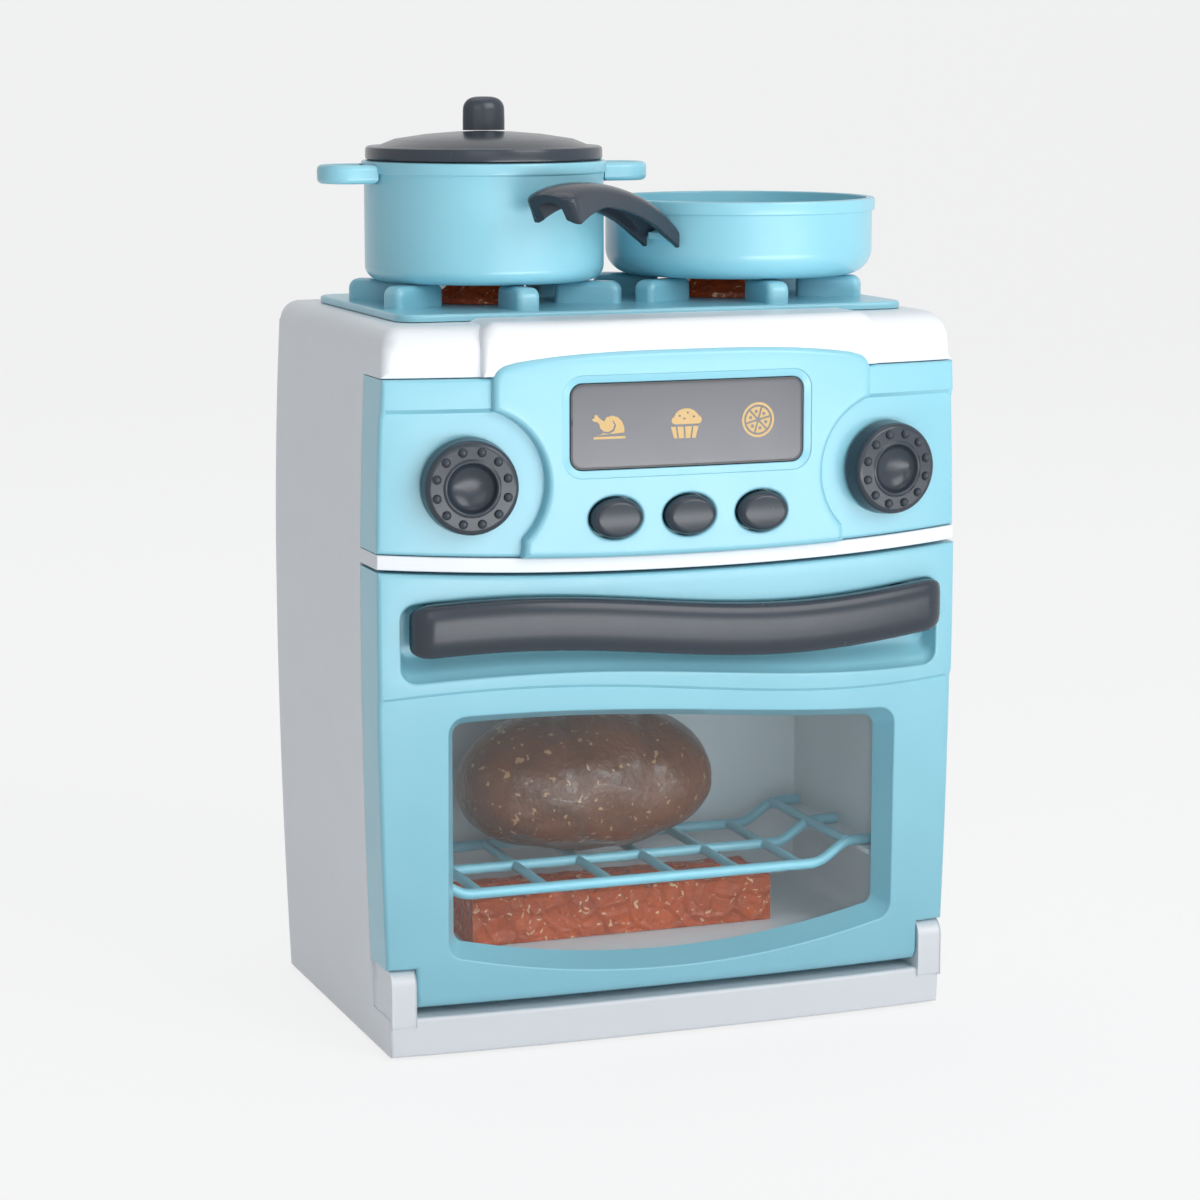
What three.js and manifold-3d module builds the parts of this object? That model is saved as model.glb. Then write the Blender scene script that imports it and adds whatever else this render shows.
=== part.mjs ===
// A toy cooker: a moulded cabinet with a drop-down oven door, a control panel and a
// two-burner hob, with the pot, the pan and the play food that stand on it and in it.
// Lengths are in mm. The front faces -Y, X runs to the right seen from the front, Z is up.
// The pieces are built round the middle of the cabinet and set on the origin at the end.
import * as THREE from "three";
import { mergeVertices } from "three/addons/utils/BufferGeometryUtils.js";
import Module from "manifold-3d";

const wasm = await Module();
wasm.setup();

// Fits shared by all pieces
const clearance = 0.3;
const overrun = 2;
const weld = 0.001;
const skin = 2.5;
const fineSkin = 1.6;

// Cabinet: outline, bow of the front and the levels of its bands
const bodyWidth = 210;
const bodyDepth = 130;
const footHeight = 1.2;
const topLevel = 247.5;
const widestLevel = 150;
const upperNarrowing = 3;
const lowerNarrowing = 3.5;
const cornerRadius = 7;
const bowTop = 10;
const bowBottom = 4;
const bowShapeShare = 2.6;
const wrapDepth = 19;
const flangeThickness = 2.6;
const edgeRise = 3.3;
const topEdgeHeight = 8;
const topEdgeDepth = 10;
const hoodHeight = 1.2;
const hoodRaise = 2.4;

// Control panel
const panelBottom = 169.8;
const panelTop = 230.5;
const shieldRaise = 4.5;
const shieldHalfTop = 67.6;
const shieldHalfFoot = 57.5;
const shieldShoulder = 235;
const shieldCrown = 238.6;
const shieldCorner = 6;
const shieldFootRise = 3.5;
const sideBandLevel = 220;
const sideBandRaise = 1.4;
const displayWidth = 83.4;
const displayHeight = 28.5;
const displayLevel = 213.8;
const displayCorner = 4;
const displaySink = 1;

// Dials
const dialSpacing = 150;
const dialLevel = 195.3;
const dialRecess = 25.6;
const dialRadius = 16.2;
const dialHeight = 8.5;
const dialDishRadius = 9.2;
const dialDishDepth = 3.2;
const dialRim = 1.2;
const dialBumpRadius = 1.5;
const dialShaftRadius = 3;
const dialShaftHole = 3.3;
const dialStandoff = 0.5;
const dialWasherRadius = 5;
const dialWasherThickness = 1.2;
const dialScrewRadius = 1.4;
const dialScrewLength = 6;
const dialScrewHead = 2.8;
const dialBumps = 12;

// Push buttons, their switches and the board
const buttonPitch = 26.2;
const buttonLevel = 183.3;
const buttonWidth = 18;
const buttonHeight = 13.4;
const buttonStand = 4;
const buttonCrown = 1.4;
const buttonTravel = 2;
const buttonLip = 1.6;
const buttonLipThickness = 1.2;
const buttonStemRadius = 2.4;
const boardDepth = 12.5;
const boardThickness = 1.6;
const boardHalfWidth = 46;
const boardBottom = 174.6;
const boardTop = 227;
const boardPegInset = 3.4;
const boardPegRadius = 2.4;
const switchSize = 6;
const switchHeight = 3.4;
const switchPlungerRadius = 1.6;
const ledRadius = 2.5;
const ledLength = 5.2;
const ledPitch = 26.5;

// Oven door
const doorBottom = 17.3;
const doorTop = 163.6;
const doorEdgeRadius = 4;
const doorGap = 1;
const axleY = -61;
const axleZ = 23.5;
const notchWidth = 12;
const notchTop = 31.5;
const lipDepth = 3.5;
const lipTop = 35;
const earRadius = 5;
const pinRadius = 1.5;
const pinLength = 11;
const pinClearance = 0.08;
const bandRaise = 1.2;
const bandLevel = 122.7;
const bandSwing = 4;
const bandCrest = -55;
const bandHalfWave = 125;
const windowInset = 23.5;
const windowTop = 113.9;
const windowSwing = 3.9;
const windowCrest = -55;
const windowHalfWave = 150;
const windowFoot = 34;
const windowSag = 8.7;
const windowCorner = 6;
const windowInnerCorner = 4;
const revealWidth = 4;
const revealBack = -59.4;
const paneLap = 2.5;

// Door handle and the pocket behind it
const handleInset = 10.5;
const handleHeight = 18;
const handleThickness = 8;
const handleStand = 9;
const handleLevel = 146.7;
const handleSwing = 3.1;
const handleCrest = -60;
const handleHalfWave = 97;
const handleFoot = 9;
const pocketEndGap = 3;
const pocketDepth = 7;
const pocketFloor = 128;
const pocketSwing = 3.5;
const pocketCrest = -50;
const pocketHalfWave = 130;
const pocketCorner = 5;
const handleScrewRadius = 1.6;
const handleScrewHead = 3.2;
const handleScrewLength = 9;

// Oven
const ovenInset = 14;
const ovenBottom = 24.5;
const ovenTop = 158;
const ovenFront = -50;
const ovenBack = 38;
const ledgeLevel = 55.2;
const ledgeDepth = 9;
const ledgeThickness = 2;
const rackWire = 3.8;
const rackLevel = 50;
const rackShift = -2.5;
const rackColumnInset = 7;
const rackRowPitch = 34;
const rackRows = 3;
const rackColumns = 6;
const rackFront = -43;
const rackBendInset = 24;
const rackRise = 10.5;
const rackSideGap = 2.9;
const emberHalf = 54;
const emberFront = -27;
const emberDepth = 32;
const emberHeight = 17;
const emberHollow = 5;
const emberLump = 1;
const emberLampRadius = 4;
const emberLampHeight = 3;

// Hob
const trayWidth = 184;
const trayDepth = 104;
const trayThickness = 2.4;
const trayCorner = 8;
const burnerPitch = 91;
const finHeight = 7.5;
const finInner = 25;
const finOuter = 48;
const finThickness = 8;
const finCorner = 3.2;
const finSlope = 2.4;
const fins = 6;
const firstFinShare = 1 / 12;
const crownRadius = 19;
const crownHeight = 7.2;
const crownTopRadius = 9;
const crownWall = 2.2;
const crownArch = 5.4;
const crownArches = 8;
const crownBase = 1.8;
const burnerLampRadius = 3.2;
const burnerLampHeight = 3;

// Back, base, feet, battery box and speaker
const baseThickness = 2.5;
const footRadius = 6;
const footPlug = 2.6;
const footInsetX = 20;
const footInsetY = 18;
const screwRadius = 1.5;
const screwHead = 3;
const screwLength = 7;
const screwHeadHeight = 1.6;
const backBossRadius = 3.6;
const backBossLength = 8;
const batteryWidth = 52;
const batteryHeight = 66;
const batteryDepth = 22;
const batteryLevel = 202;
const batteryRadius = 7.1;
const batteryLength = 50;
const batteryPitch = 15.4;
const batteries = 3;
const speakerRadius = 14;
const speakerDepth = 7;
const speakerInset = 39;
const speakerLevel = 202;
const grilleSlot = 2;
const grillePitch = 4.4;
const grilleSlots = 5;

// Pot and lid
const potHandleGap = 1.9;
const potRadius = 41.5;
const potHeight = 41;
const potWall = 2;
const potFootCorner = 5;
const potBand = 4;
const potBandRaise = 1;
const earStand = 18;
const earHalfWidth = 10;
const earThickness = 6.5;
const earBar = 4;
const lidInset = 0.5;
const lidBand = 4.6;
const lidDome = 5;
const lidWall = 1.8;
const lidSkirt = 3;
const lidKnobWidth = 15;
const lidKnobDepth = 9;
const lidKnobHeight = 11.5;
const lidKnobPlug = 2.2;

// Pan, its handle and the egg in it
const panX = 50;
const panRadius = 47.5;
const panHeight = 27;
const panWall = 2;
const panFootCorner = 9;
const panBand = 4.5;
const panBandRaise = 1;
const panHandleLength = 62.5;
const panHandleWidth = 18;
const panHandleDepth = 11;
const panHandleWall = 2.2;
const panHandleArch = 10;
const panHandleDroop = 3;
const panHandleSocket = 7;
const panHandleTurn = THREE.MathUtils.degToRad(214);
const eggRadius = 22;
const eggThickness = 2.2;
const eggLobe = 2.6;
const yolkRadius = 8.5;
const yolkHeight = 5;

// Roast
const roastX = -9;
const roastY = -4;
const roastHalfLength = 46;
const roastHalfWidth = 30;
const roastHeight = 51;
const roastSunk = 8;
const roastCrease = 2.6;

// Worked out from the sizes above
const halfBody = bodyWidth / 2;
const frontCorner = -bodyDepth / 2;
const wrapBack = frontCorner + wrapDepth;
const windowHalf = halfBody - windowInset;
const handleHalf = halfBody - handleInset;
const pocketHalf = handleHalf + pocketEndGap;
const ovenHalf = halfBody - ovenInset;
const rackFlatHalf = ovenHalf - rackBendInset;
const rackPitch = ((rackFlatHalf - rackColumnInset) * 2) / (rackColumns - 1);
const speakerX = halfBody - speakerInset;
const potToHandle = potRadius + potBandRaise + potHandleGap + panHandleWidth / 2;
const potX = panX + potToHandle / Math.sin(panHandleTurn);
const earReach = potRadius + earStand;
const lidRadius = potRadius - lidInset;
const panHandleReach = panRadius + panHandleLength;
const flangeFront = wrapBack + clearance;
const flangeBack = flangeFront + flangeThickness;
const trayLevel = topLevel + clearance;
const hobLevel = trayLevel + trayThickness;
const panSeat = hobLevel + finHeight + clearance;
const quarterTurn = Math.PI / 2;
const fullTurn = Math.PI * 2;

// Solids and surfaces
function toSolid(geometry) {
  const bare = geometry.clone();
  bare.deleteAttribute("normal");
  bare.deleteAttribute("uv");
  const merged = mergeVertices(bare, weld);
  return new wasm.Manifold(
    new wasm.Mesh({
      numProp: 3,
      vertProperties: merged.attributes.position.array,
      triVerts: new Uint32Array(merged.index.array),
    }),
  );
}

function toGeometry(body) {
  const mesh = body.getMesh();
  const geometry = new THREE.BufferGeometry();
  const corners = new Float32Array(mesh.vertProperties);
  geometry.setAttribute("position", new THREE.BufferAttribute(corners, mesh.numProp));
  geometry.setIndex(new THREE.BufferAttribute(mesh.triVerts, 1));
  geometry.computeVertexNormals();
  return geometry;
}

function join(bodies) {
  return bodies.reduce((sum, body) => sum.add(body));
}

function cut(body, tools) {
  return tools.reduce((rest, tool) => rest.subtract(tool), body);
}

function box(left, right, front, back, low, high) {
  const geometry = new THREE.BoxGeometry(right - left, back - front, high - low);
  geometry.translate((left + right) / 2, (front + back) / 2, (low + high) / 2);
  return toSolid(geometry);
}

// An outline in x and z, pushed along Y from front to back
function prism(outline, front, back) {
  const shape = new THREE.Shape(outline);
  const options = { depth: back - front, bevelEnabled: false };
  const geometry = new THREE.ExtrudeGeometry(shape, options);
  geometry.rotateX(quarterTurn);
  geometry.translate(0, back, 0);
  return toSolid(geometry);
}

// An outline in x and y, raised from low to high
function plate(outline, low, high) {
  const shape = new THREE.Shape(outline);
  const options = { depth: high - low, bevelEnabled: false };
  const geometry = new THREE.ExtrudeGeometry(shape, options);
  geometry.translate(0, 0, low);
  return toSolid(geometry);
}

// A profile of radius and height turned about a standing axis
function turned(profile, steps) {
  const geometry = new THREE.LatheGeometry(profile, steps);
  geometry.rotateX(quarterTurn);
  return geometry;
}

// A solid with a rippled front and back: both faces are functions of x and z
function slab(frontFace, backFace, levels) {
  const columns = 18;
  const positions = [];
  const index = [];
  const rows = levels.length;
  const reach = halfBody + overrun;
  for (const face of [frontFace, backFace]) {
    for (const z of levels) {
      for (let i = 0; i <= columns; i++) {
        const x = reach * ((2 * i) / columns - 1);
        positions.push(x, face(x, z), z);
      }
    }
  }
  const wide = columns + 1;
  const back = wide * rows;
  const quad = (a, b, c, d) => index.push(a, b, c, a, c, d);
  for (let j = 0; j + 1 < rows; j++) {
    for (let i = 0; i < columns; i++) {
      const a = j * wide + i;
      quad(a, a + 1, a + 1 + wide, a + wide);
      quad(back + a, back + a + wide, back + a + 1 + wide, back + a + 1);
    }
    const left = j * wide;
    const right = left + columns;
    quad(left, left + wide, back + left + wide, back + left);
    quad(right, back + right, back + right + wide, right + wide);
  }
  const top = (rows - 1) * wide;
  for (let i = 0; i < columns; i++) {
    quad(i, back + i, back + i + 1, i + 1);
    quad(top + i, top + i + 1, back + top + i + 1, back + top + i);
  }
  const geometry = new THREE.BufferGeometry();
  geometry.setAttribute("position", new THREE.Float32BufferAttribute(positions, 3));
  geometry.setIndex(index);
  return toSolid(geometry);
}

// Loops of equally many points joined into one closed skin, each end filled from its middle
function loft(loops) {
  const positions = [];
  const index = [];
  const count = loops[0].length;
  loops.forEach((loop) => loop.forEach((p) => positions.push(p.x, p.y, p.z)));
  for (let j = 0; j + 1 < loops.length; j++) {
    for (let i = 0; i < count; i++) {
      const a = j * count + i;
      const b = j * count + ((i + 1) % count);
      index.push(a, b, b + count, a, b + count, a + count);
    }
  }
  const ends = [loops[0], loops[loops.length - 1]];
  ends.forEach((loop, end) => {
    const middle = new THREE.Vector3();
    loop.forEach((p) => middle.add(p));
    middle.divideScalar(count);
    const hub = positions.length / 3;
    positions.push(middle.x, middle.y, middle.z);
    const start = end * (loops.length - 1) * count;
    for (let i = 0; i < count; i++) {
      const a = start + i;
      const b = start + ((i + 1) % count);
      if (end) index.push(a, b, hub);
      else index.push(b, a, hub);
    }
  });
  const geometry = new THREE.BufferGeometry();
  geometry.setAttribute("position", new THREE.Float32BufferAttribute(positions, 3));
  geometry.setIndex(index);
  const solid = toSolid(geometry);
  if (solid.volume() > 0) return solid;
  geometry.setIndex(index.reverse());
  return toSolid(geometry);
}

// A round bar between two points
function rod(from, to, radius, sides) {
  const along = new THREE.Vector3().subVectors(to, from);
  const geometry = new THREE.CylinderGeometry(radius, radius, along.length(), sides);
  const up = new THREE.Vector3(0, 1, 0);
  const turn = new THREE.Quaternion().setFromUnitVectors(up, along.normalize());
  geometry.applyQuaternion(turn);
  geometry.translate((from.x + to.x) / 2, (from.y + to.y) / 2, (from.z + to.z) / 2);
  return toSolid(geometry);
}

function post(x, y, low, high, radius, sides = 16) {
  return rod(new THREE.Vector3(x, y, low), new THREE.Vector3(x, y, high), radius, sides);
}

function pegAlongY(x, z, front, back, radius, sides = 16) {
  return rod(new THREE.Vector3(x, front, z), new THREE.Vector3(x, back, z), radius, sides);
}

function pegAlongX(y, z, left, right, radius, sides = 16) {
  return rod(new THREE.Vector3(left, y, z), new THREE.Vector3(right, y, z), radius, sides);
}

// Outlines
function arc(x, z, radius, from, to, steps) {
  return Array.from({ length: steps + 1 }, (_, i) => {
    const angle = from + ((to - from) * i) / steps;
    return new THREE.Vector2(x + radius * Math.cos(angle), z + radius * Math.sin(angle));
  });
}

function roundedBox(left, right, low, high, radius, steps = 5) {
  return [
    ...arc(right - radius, high - radius, radius, 0, quarterTurn, steps),
    ...arc(left + radius, high - radius, radius, quarterTurn, Math.PI, steps),
    ...arc(left + radius, low + radius, radius, Math.PI, Math.PI * 1.5, steps),
    ...arc(right - radius, low + radius, radius, Math.PI * 1.5, fullTurn, steps),
  ];
}

// The same outline moved inwards, or outwards where the amount is negative
function inset(outline, amount) {
  const count = outline.length;
  return outline.map((p, i) => {
    const before = outline[(i + count - 1) % count];
    const after = outline[(i + 1) % count];
    const a = new THREE.Vector2().subVectors(p, before).normalize();
    const b = new THREE.Vector2().subVectors(after, p).normalize();
    const normal = new THREE.Vector2(-a.y - b.y, a.x + b.x).normalize();
    const lean = Math.max(0.5, normal.x * -a.y + normal.y * a.x);
    return new THREE.Vector2(p.x + (normal.x * amount) / lean, p.y + (normal.y * amount) / lean);
  });
}

function mirrored(half) {
  const other = half.map((p) => new THREE.Vector2(-p.x, p.y)).reverse();
  return [...half, ...other];
}

function wave(x, middle, swing, crest, halfWave) {
  return middle + swing * Math.cos((Math.PI * (x - crest)) / halfWave);
}

function spread(from, to, steps) {
  return Array.from({ length: steps + 1 }, (_, i) => from + ((to - from) * i) / steps);
}

// The cabinet's form: its sides bulge a little, and its front is bowed, less so at the foot
function halfWidth(z) {
  const up = (z - widestLevel) / (topLevel - widestLevel);
  const down = (widestLevel - z) / widestLevel;
  return z > widestLevel
    ? halfBody - upperNarrowing * up * up
    : halfBody - lowerNarrowing * down * down;
}

function frontFace(x, z) {
  const share = THREE.MathUtils.clamp((z - doorBottom) / (doorTop - doorBottom), 0, 1);
  const bow = bowBottom + (bowTop - bowBottom) * share;
  const across = Math.min(1, Math.abs(x) / halfBody);
  return frontCorner - bow * (1 - across ** bowShapeShare);
}

function bandEdge(x, middle) {
  return middle + edgeRise * (x / halfBody) ** 2;
}

function sides(low, high, steps) {
  return spread(low, high, steps).map((z) => new THREE.Vector2(halfWidth(z), z));
}

// A band of the cabinet's front between two levels, with a curved lower or upper edge
function bandOutline(low, high, curvedLow, curvedHigh) {
  const lowEdge = low + (curvedLow ? edgeRise : 0);
  const highEdge = high + (curvedHigh ? edgeRise : 0);
  const right = sides(lowEdge, highEdge, 6);
  const half = [...right];
  const columns = spread(1, 0, 6).slice(1, -1);
  if (curvedHigh) {
    const reach = halfWidth(highEdge);
    columns.forEach((s) => half.push(new THREE.Vector2(s * reach, bandEdge(s * reach, high))));
    half.push(new THREE.Vector2(0, high));
  }
  const lower = [];
  if (curvedLow) {
    const reach = halfWidth(lowEdge);
    lower.push(new THREE.Vector2(0, low));
    columns
      .slice()
      .reverse()
      .forEach((s) => lower.push(new THREE.Vector2(s * reach, bandEdge(s * reach, low))));
  }
  const other = half
    .filter((p) => p.x > 0)
    .map((p) => new THREE.Vector2(-p.x, p.y))
    .reverse();
  const otherLower = lower
    .filter((p) => p.x > 0)
    .map((p) => new THREE.Vector2(-p.x, p.y))
    .reverse();
  return [...lower, ...half, ...other, ...otherLower];
}

function offsetFace(offset) {
  return (x, z) => frontFace(x, z) + offset;
}

function flatFace(y) {
  return () => y;
}

const bodyLevels = spread(0, topLevel + overrun, 8);
const panelLevels = [panelBottom - overrun, topLevel + overrun * 2];

function frontSlab(front, back, levels = bodyLevels) {
  return slab(offsetFace(front), typeof back === "number" ? offsetFace(back) : back, levels);
}

// A tray-like cover: a bowed front skin with a wall all round, open at the back
function cover(outline, front, levels) {
  const deep = wrapBack;
  const solid = slab(front, flatFace(deep), levels).intersect(
    prism(outline, frontCorner - bowTop - overrun, deep),
  );
  const inner = slab((x, z) => front(x, z) + skin, flatFace(deep + overrun), levels).intersect(
    prism(inset(outline, skin), frontCorner - bowTop - overrun, deep + overrun),
  );
  return solid.subtract(inner);
}

const part = new THREE.Group();
const finishes = {
  teal: { color: 0x86d3d8, roughness: 0.4, metalness: 0 },
  white: { color: 0xf3f4f4, roughness: 0.4, metalness: 0 },
  liner: { color: 0xdfe2e3, roughness: 0.5, metalness: 0 },
  charcoal: { color: 0x46474c, roughness: 0.38, metalness: 0 },
  smoke: { color: 0x3a3a3a, roughness: 0.15, metalness: 0 },
  clear: { color: 0xe8f4f5, roughness: 0.05, metalness: 0, transparent: true, opacity: 0.35 },
  flame: { color: 0xd8591c, roughness: 0.2, metalness: 0, transparent: true, opacity: 0.8 },
  roast: { color: 0x8a5a3c, roughness: 0.5, metalness: 0 },
  eggWhite: { color: 0xfaf7f0, roughness: 0.35, metalness: 0 },
  yolk: { color: 0xf2a020, roughness: 0.3, metalness: 0 },
  steel: { color: 0xb9bcc0, roughness: 0.35, metalness: 1 },
  board: { color: 0x2f6b3c, roughness: 0.5, metalness: 0 },
  black: { color: 0x1c1c1e, roughness: 0.5, metalness: 0 },
  rubber: { color: 0x8f9294, roughness: 0.8, metalness: 0 },
  lamp: { color: 0xffd27a, roughness: 0.2, metalness: 0 },
  cell: { color: 0x2d3a44, roughness: 0.4, metalness: 0 },
};

function addPiece(name, solid, finish) {
  const material = new THREE.MeshStandardMaterial(finishes[finish]);
  const mesh = new THREE.Mesh(toGeometry(solid), material);
  mesh.name = name;
  part.add(mesh);
  return mesh;
}

// A round bar standing on the local Z axis
function standing(radius, low, high, steps = 16) {
  const geometry = new THREE.CylinderGeometry(radius, radius, high - low, steps);
  geometry.rotateX(quarterTurn);
  geometry.translate(0, 0, (low + high) / 2);
  return geometry;
}

// The dials stand square to the bowed panel: local Z points out of the panel
const dialX = dialSpacing / 2;
const dialSeat = frontFace(dialX, dialLevel);
const dialSlope = ((bowTop * bowShapeShare) / halfBody) * (dialX / halfBody) ** (bowShapeShare - 1);
const dialLean = Math.atan(dialSlope);

function onDialAxis(geometry, side) {
  geometry.rotateX(quarterTurn);
  geometry.rotateZ(side * dialLean);
  geometry.translate(side * dialX, dialSeat, dialLevel);
  return toSolid(geometry);
}

// Shield: the raised middle of the panel, hollowed round each dial
function shieldOutline() {
  const footTurn = Math.asin((dialLevel - panelBottom - shieldFootRise * 2) / dialRecess);
  const shoulderTurn = Math.acos((dialX - shieldHalfTop) / dialRecess);
  const hollow = arc(dialX, dialLevel, dialRecess, Math.PI + footTurn, Math.PI - shoulderTurn, 9);
  const shoulder = shieldShoulder - shieldCorner;
  const right = [
    new THREE.Vector2(shieldHalfFoot, bandEdge(shieldHalfFoot, panelBottom)),
    ...hollow,
    ...arc(shieldHalfTop - shieldCorner, shoulder, shieldCorner, 0, 1.2, 3),
    new THREE.Vector2(shieldHalfTop * 0.65, (shieldShoulder + shieldCrown) / 2 + shieldRaise / 4),
    new THREE.Vector2(shieldHalfTop * 0.35, shieldCrown),
  ];
  const foot = spread(0, 1, 4)
    .slice(1, -1)
    .map((s) => new THREE.Vector2(s * shieldHalfFoot, bandEdge(s * shieldHalfFoot, panelBottom)));
  const onLeft = (list) => list.map((p) => new THREE.Vector2(-p.x, p.y)).reverse();
  return [new THREE.Vector2(0, panelBottom), ...foot, ...right, ...onLeft(right), ...onLeft(foot)];
}

const shield = shieldOutline();
const farFront = frontCorner - bowTop - wrapDepth;
const displayOutline = roundedBox(
  -displayWidth / 2,
  displayWidth / 2,
  displayLevel - displayHeight / 2,
  displayLevel + displayHeight / 2,
  displayCorner,
  3,
);
const buttonPlaces = [-buttonPitch, 0, buttonPitch];
const ledPlaces = [-ledPitch, 0, ledPitch];
const shieldFace = frontFace(0, buttonLevel) - shieldRaise;
const boardFront = shieldFace + boardDepth + skin;

function ellipse(x, z, width, height, steps = 16) {
  return spread(0, fullTurn, steps)
    .slice(0, -1)
    .map((a) => new THREE.Vector2(x + (width / 2) * Math.cos(a), z + (height / 2) * Math.sin(a)));
}

function across(front, back, low, high) {
  return box(-halfBody - overrun, halfBody + overrun, front, back, low, high);
}

// Panel: a bowed cover with the shield raised on it, two dial seats and pegs for the board
function controlPanel() {
  const outline = bandOutline(panelBottom, panelTop, true, false);
  const base = cover(outline, offsetFace(0), panelLevels);
  const shieldPrism = prism(shield, farFront, wrapBack);
  const lowShield = frontSlab(-shieldRaise, skin, panelLevels)
    .intersect(shieldPrism)
    .intersect(across(farFront, wrapBack, 0, panelTop));
  const crest = frontSlab(-shieldRaise, -clearance, panelLevels)
    .intersect(shieldPrism)
    .intersect(across(farFront, wrapBack, panelTop - skin, topLevel));
  const sideBand = frontSlab(-sideBandRaise, skin, panelLevels)
    .intersect(prism(outline, farFront, wrapBack))
    .intersect(across(farFront, wrapBack, sideBandLevel, topLevel));
  const hollow = frontSlab(skin - shieldRaise, skin + overrun, panelLevels)
    .intersect(prism(inset(shield, skin), farFront, wrapBack))
    .intersect(across(farFront, wrapBack, 0, panelTop - skin));
  const pegs = [];
  for (const x of [boardPegInset - boardHalfWidth, boardHalfWidth - boardPegInset]) {
    for (const z of [boardBottom + boardPegInset, boardTop - boardPegInset]) {
      pegs.push(pegAlongY(x, z, shieldFace + skin, boardFront - clearance, boardPegRadius, 10));
    }
  }
  const body = join([join([base, lowShield, sideBand, crest]).subtract(hollow), ...pegs]);
  const holes = [prism(inset(displayOutline, -clearance), farFront, boardFront - skin)];
  for (const x of buttonPlaces) {
    const hole = ellipse(x, buttonLevel, buttonWidth + clearance * 2, buttonHeight + clearance * 2);
    holes.push(prism(hole, farFront, boardFront - skin));
  }
  for (const side of [-1, 1]) {
    holes.push(onDialAxis(standing(dialShaftHole, -dialRecess, dialRecess), side));
  }
  return cut(body, holes);
}

// Display: a smoked window set flush into the shield
function displayWindow() {
  const face = displaySink - shieldRaise;
  const glazing = frontSlab(face, face + fineSkin, panelLevels);
  return glazing.intersect(prism(displayOutline, farFront, wrapBack));
}

// Dial: a turned cap with a dished middle, a ring of studs and a shaft through the panel
const dialShaftBack = -skin - dialStandoff;

function dial(side) {
  const low = dialStandoff;
  const top = dialHeight;
  const profile = [
    new THREE.Vector2(0, low),
    new THREE.Vector2(dialRadius - dialRim, low),
    new THREE.Vector2(dialRadius, low + dialRim),
    new THREE.Vector2(dialRadius - dialRim / 2, top - dialRim),
    new THREE.Vector2(dialRadius - dialRim * 1.6, top),
    new THREE.Vector2(dialDishRadius, top),
    new THREE.Vector2(dialDishRadius * 0.86, top - dialDishDepth * 0.55),
    new THREE.Vector2(dialDishRadius * 0.5, top - dialDishDepth * 0.92),
    new THREE.Vector2(0, top - dialDishDepth),
  ];
  const cap = onDialAxis(turned(profile, 24), side);
  const ring = (dialDishRadius + dialRadius - dialRim) / 2;
  const bumps = spread(0, fullTurn, dialBumps)
    .slice(0, -1)
    .map((angle) => {
      const bump = new THREE.SphereGeometry(dialBumpRadius, 6, 4);
      bump.translate(ring * Math.cos(angle), ring * Math.sin(angle), top - dialRim / 3);
      return onDialAxis(bump, side);
    });
  const shaft = onDialAxis(standing(dialShaftRadius, dialShaftBack, low + dialRim), side);
  const bore = onDialAxis(standing(dialScrewRadius + clearance, dialShaftBack - overrun, low), side);
  return join([cap, shaft, ...bumps]).subtract(bore);
}

// The screw and washer that hold a dial from behind
function dialScrew(side) {
  const back = dialShaftBack - clearance;
  const washer = standing(dialWasherRadius, back - dialWasherThickness, back);
  const head = standing(dialScrewHead, back - dialWasherThickness * 2, back - dialWasherThickness / 2);
  const shank = standing(dialScrewRadius, back - dialWasherThickness, dialStandoff - clearance, 10);
  return join([washer, head, shank].map((g) => onDialAxis(g, side)));
}

// Push button: a domed oval cap, a lip that stays behind the panel and a stem to its switch
function domed(x, z, width, height, rim, crown, steps = 16) {
  const rings = [];
  for (const share of [0, 0.45, 0.8, 1]) {
    const rise = crown * (1 - share * share);
    const loop = ellipse(x, z, width * share, height * share, steps);
    rings.push(loop.map((p) => new THREE.Vector3(p.x, rim - rise, p.y)));
  }
  return rings.slice(1);
}

const switchFront = boardFront - switchHeight;

function pushButton(x) {
  const lipEdge = Math.abs(x) + buttonWidth / 2 + buttonLip;
  const buttonBack = frontFace(lipEdge, buttonLevel) - shieldRaise + skin + clearance;
  const front = shieldFace - buttonStand + buttonCrown;
  const rings = domed(x, buttonLevel, buttonWidth, buttonHeight, front, buttonCrown);
  const foot = ellipse(x, buttonLevel, buttonWidth, buttonHeight).map(
    (p) => new THREE.Vector3(p.x, buttonBack, p.y),
  );
  const cap = loft([...rings, foot]);
  const lipWidth = buttonWidth + buttonLip * 2;
  const lipHeight = buttonHeight + buttonLip * 2;
  const lipOutline = ellipse(x, buttonLevel, lipWidth, lipHeight);
  const lip = prism(lipOutline, buttonBack, buttonBack + buttonLipThickness);
  const stemBack = switchFront - buttonTravel - clearance;
  const stem = pegAlongY(x, buttonLevel, front, stemBack, buttonStemRadius, 12);
  return join([cap, lip, stem]);
}

// Board: carries three switches and three lamps, and sits on the panel's pegs
function circuitBoard() {
  const outline = roundedBox(-boardHalfWidth, boardHalfWidth, boardBottom, boardTop, boardPegInset, 2);
  return prism(outline, boardFront, boardFront + boardThickness);
}

function tactSwitch(x) {
  const half = switchSize / 2;
  const front = switchFront + switchPlungerRadius;
  const level = buttonLevel;
  const back = boardFront - clearance;
  const body = box(x - half, x + half, front, back, level - half, level + half);
  return body.add(pegAlongY(x, level, switchFront, back - clearance, switchPlungerRadius, 10));
}

function displayLamp(x) {
  const back = boardFront - clearance;
  const body = pegAlongY(x, displayLevel, back - ledLength, back, ledRadius, 12);
  const tip = new THREE.SphereGeometry(ledRadius, 8, 6);
  tip.translate(x, back - ledLength, displayLevel);
  return body.add(toSolid(tip));
}

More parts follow.
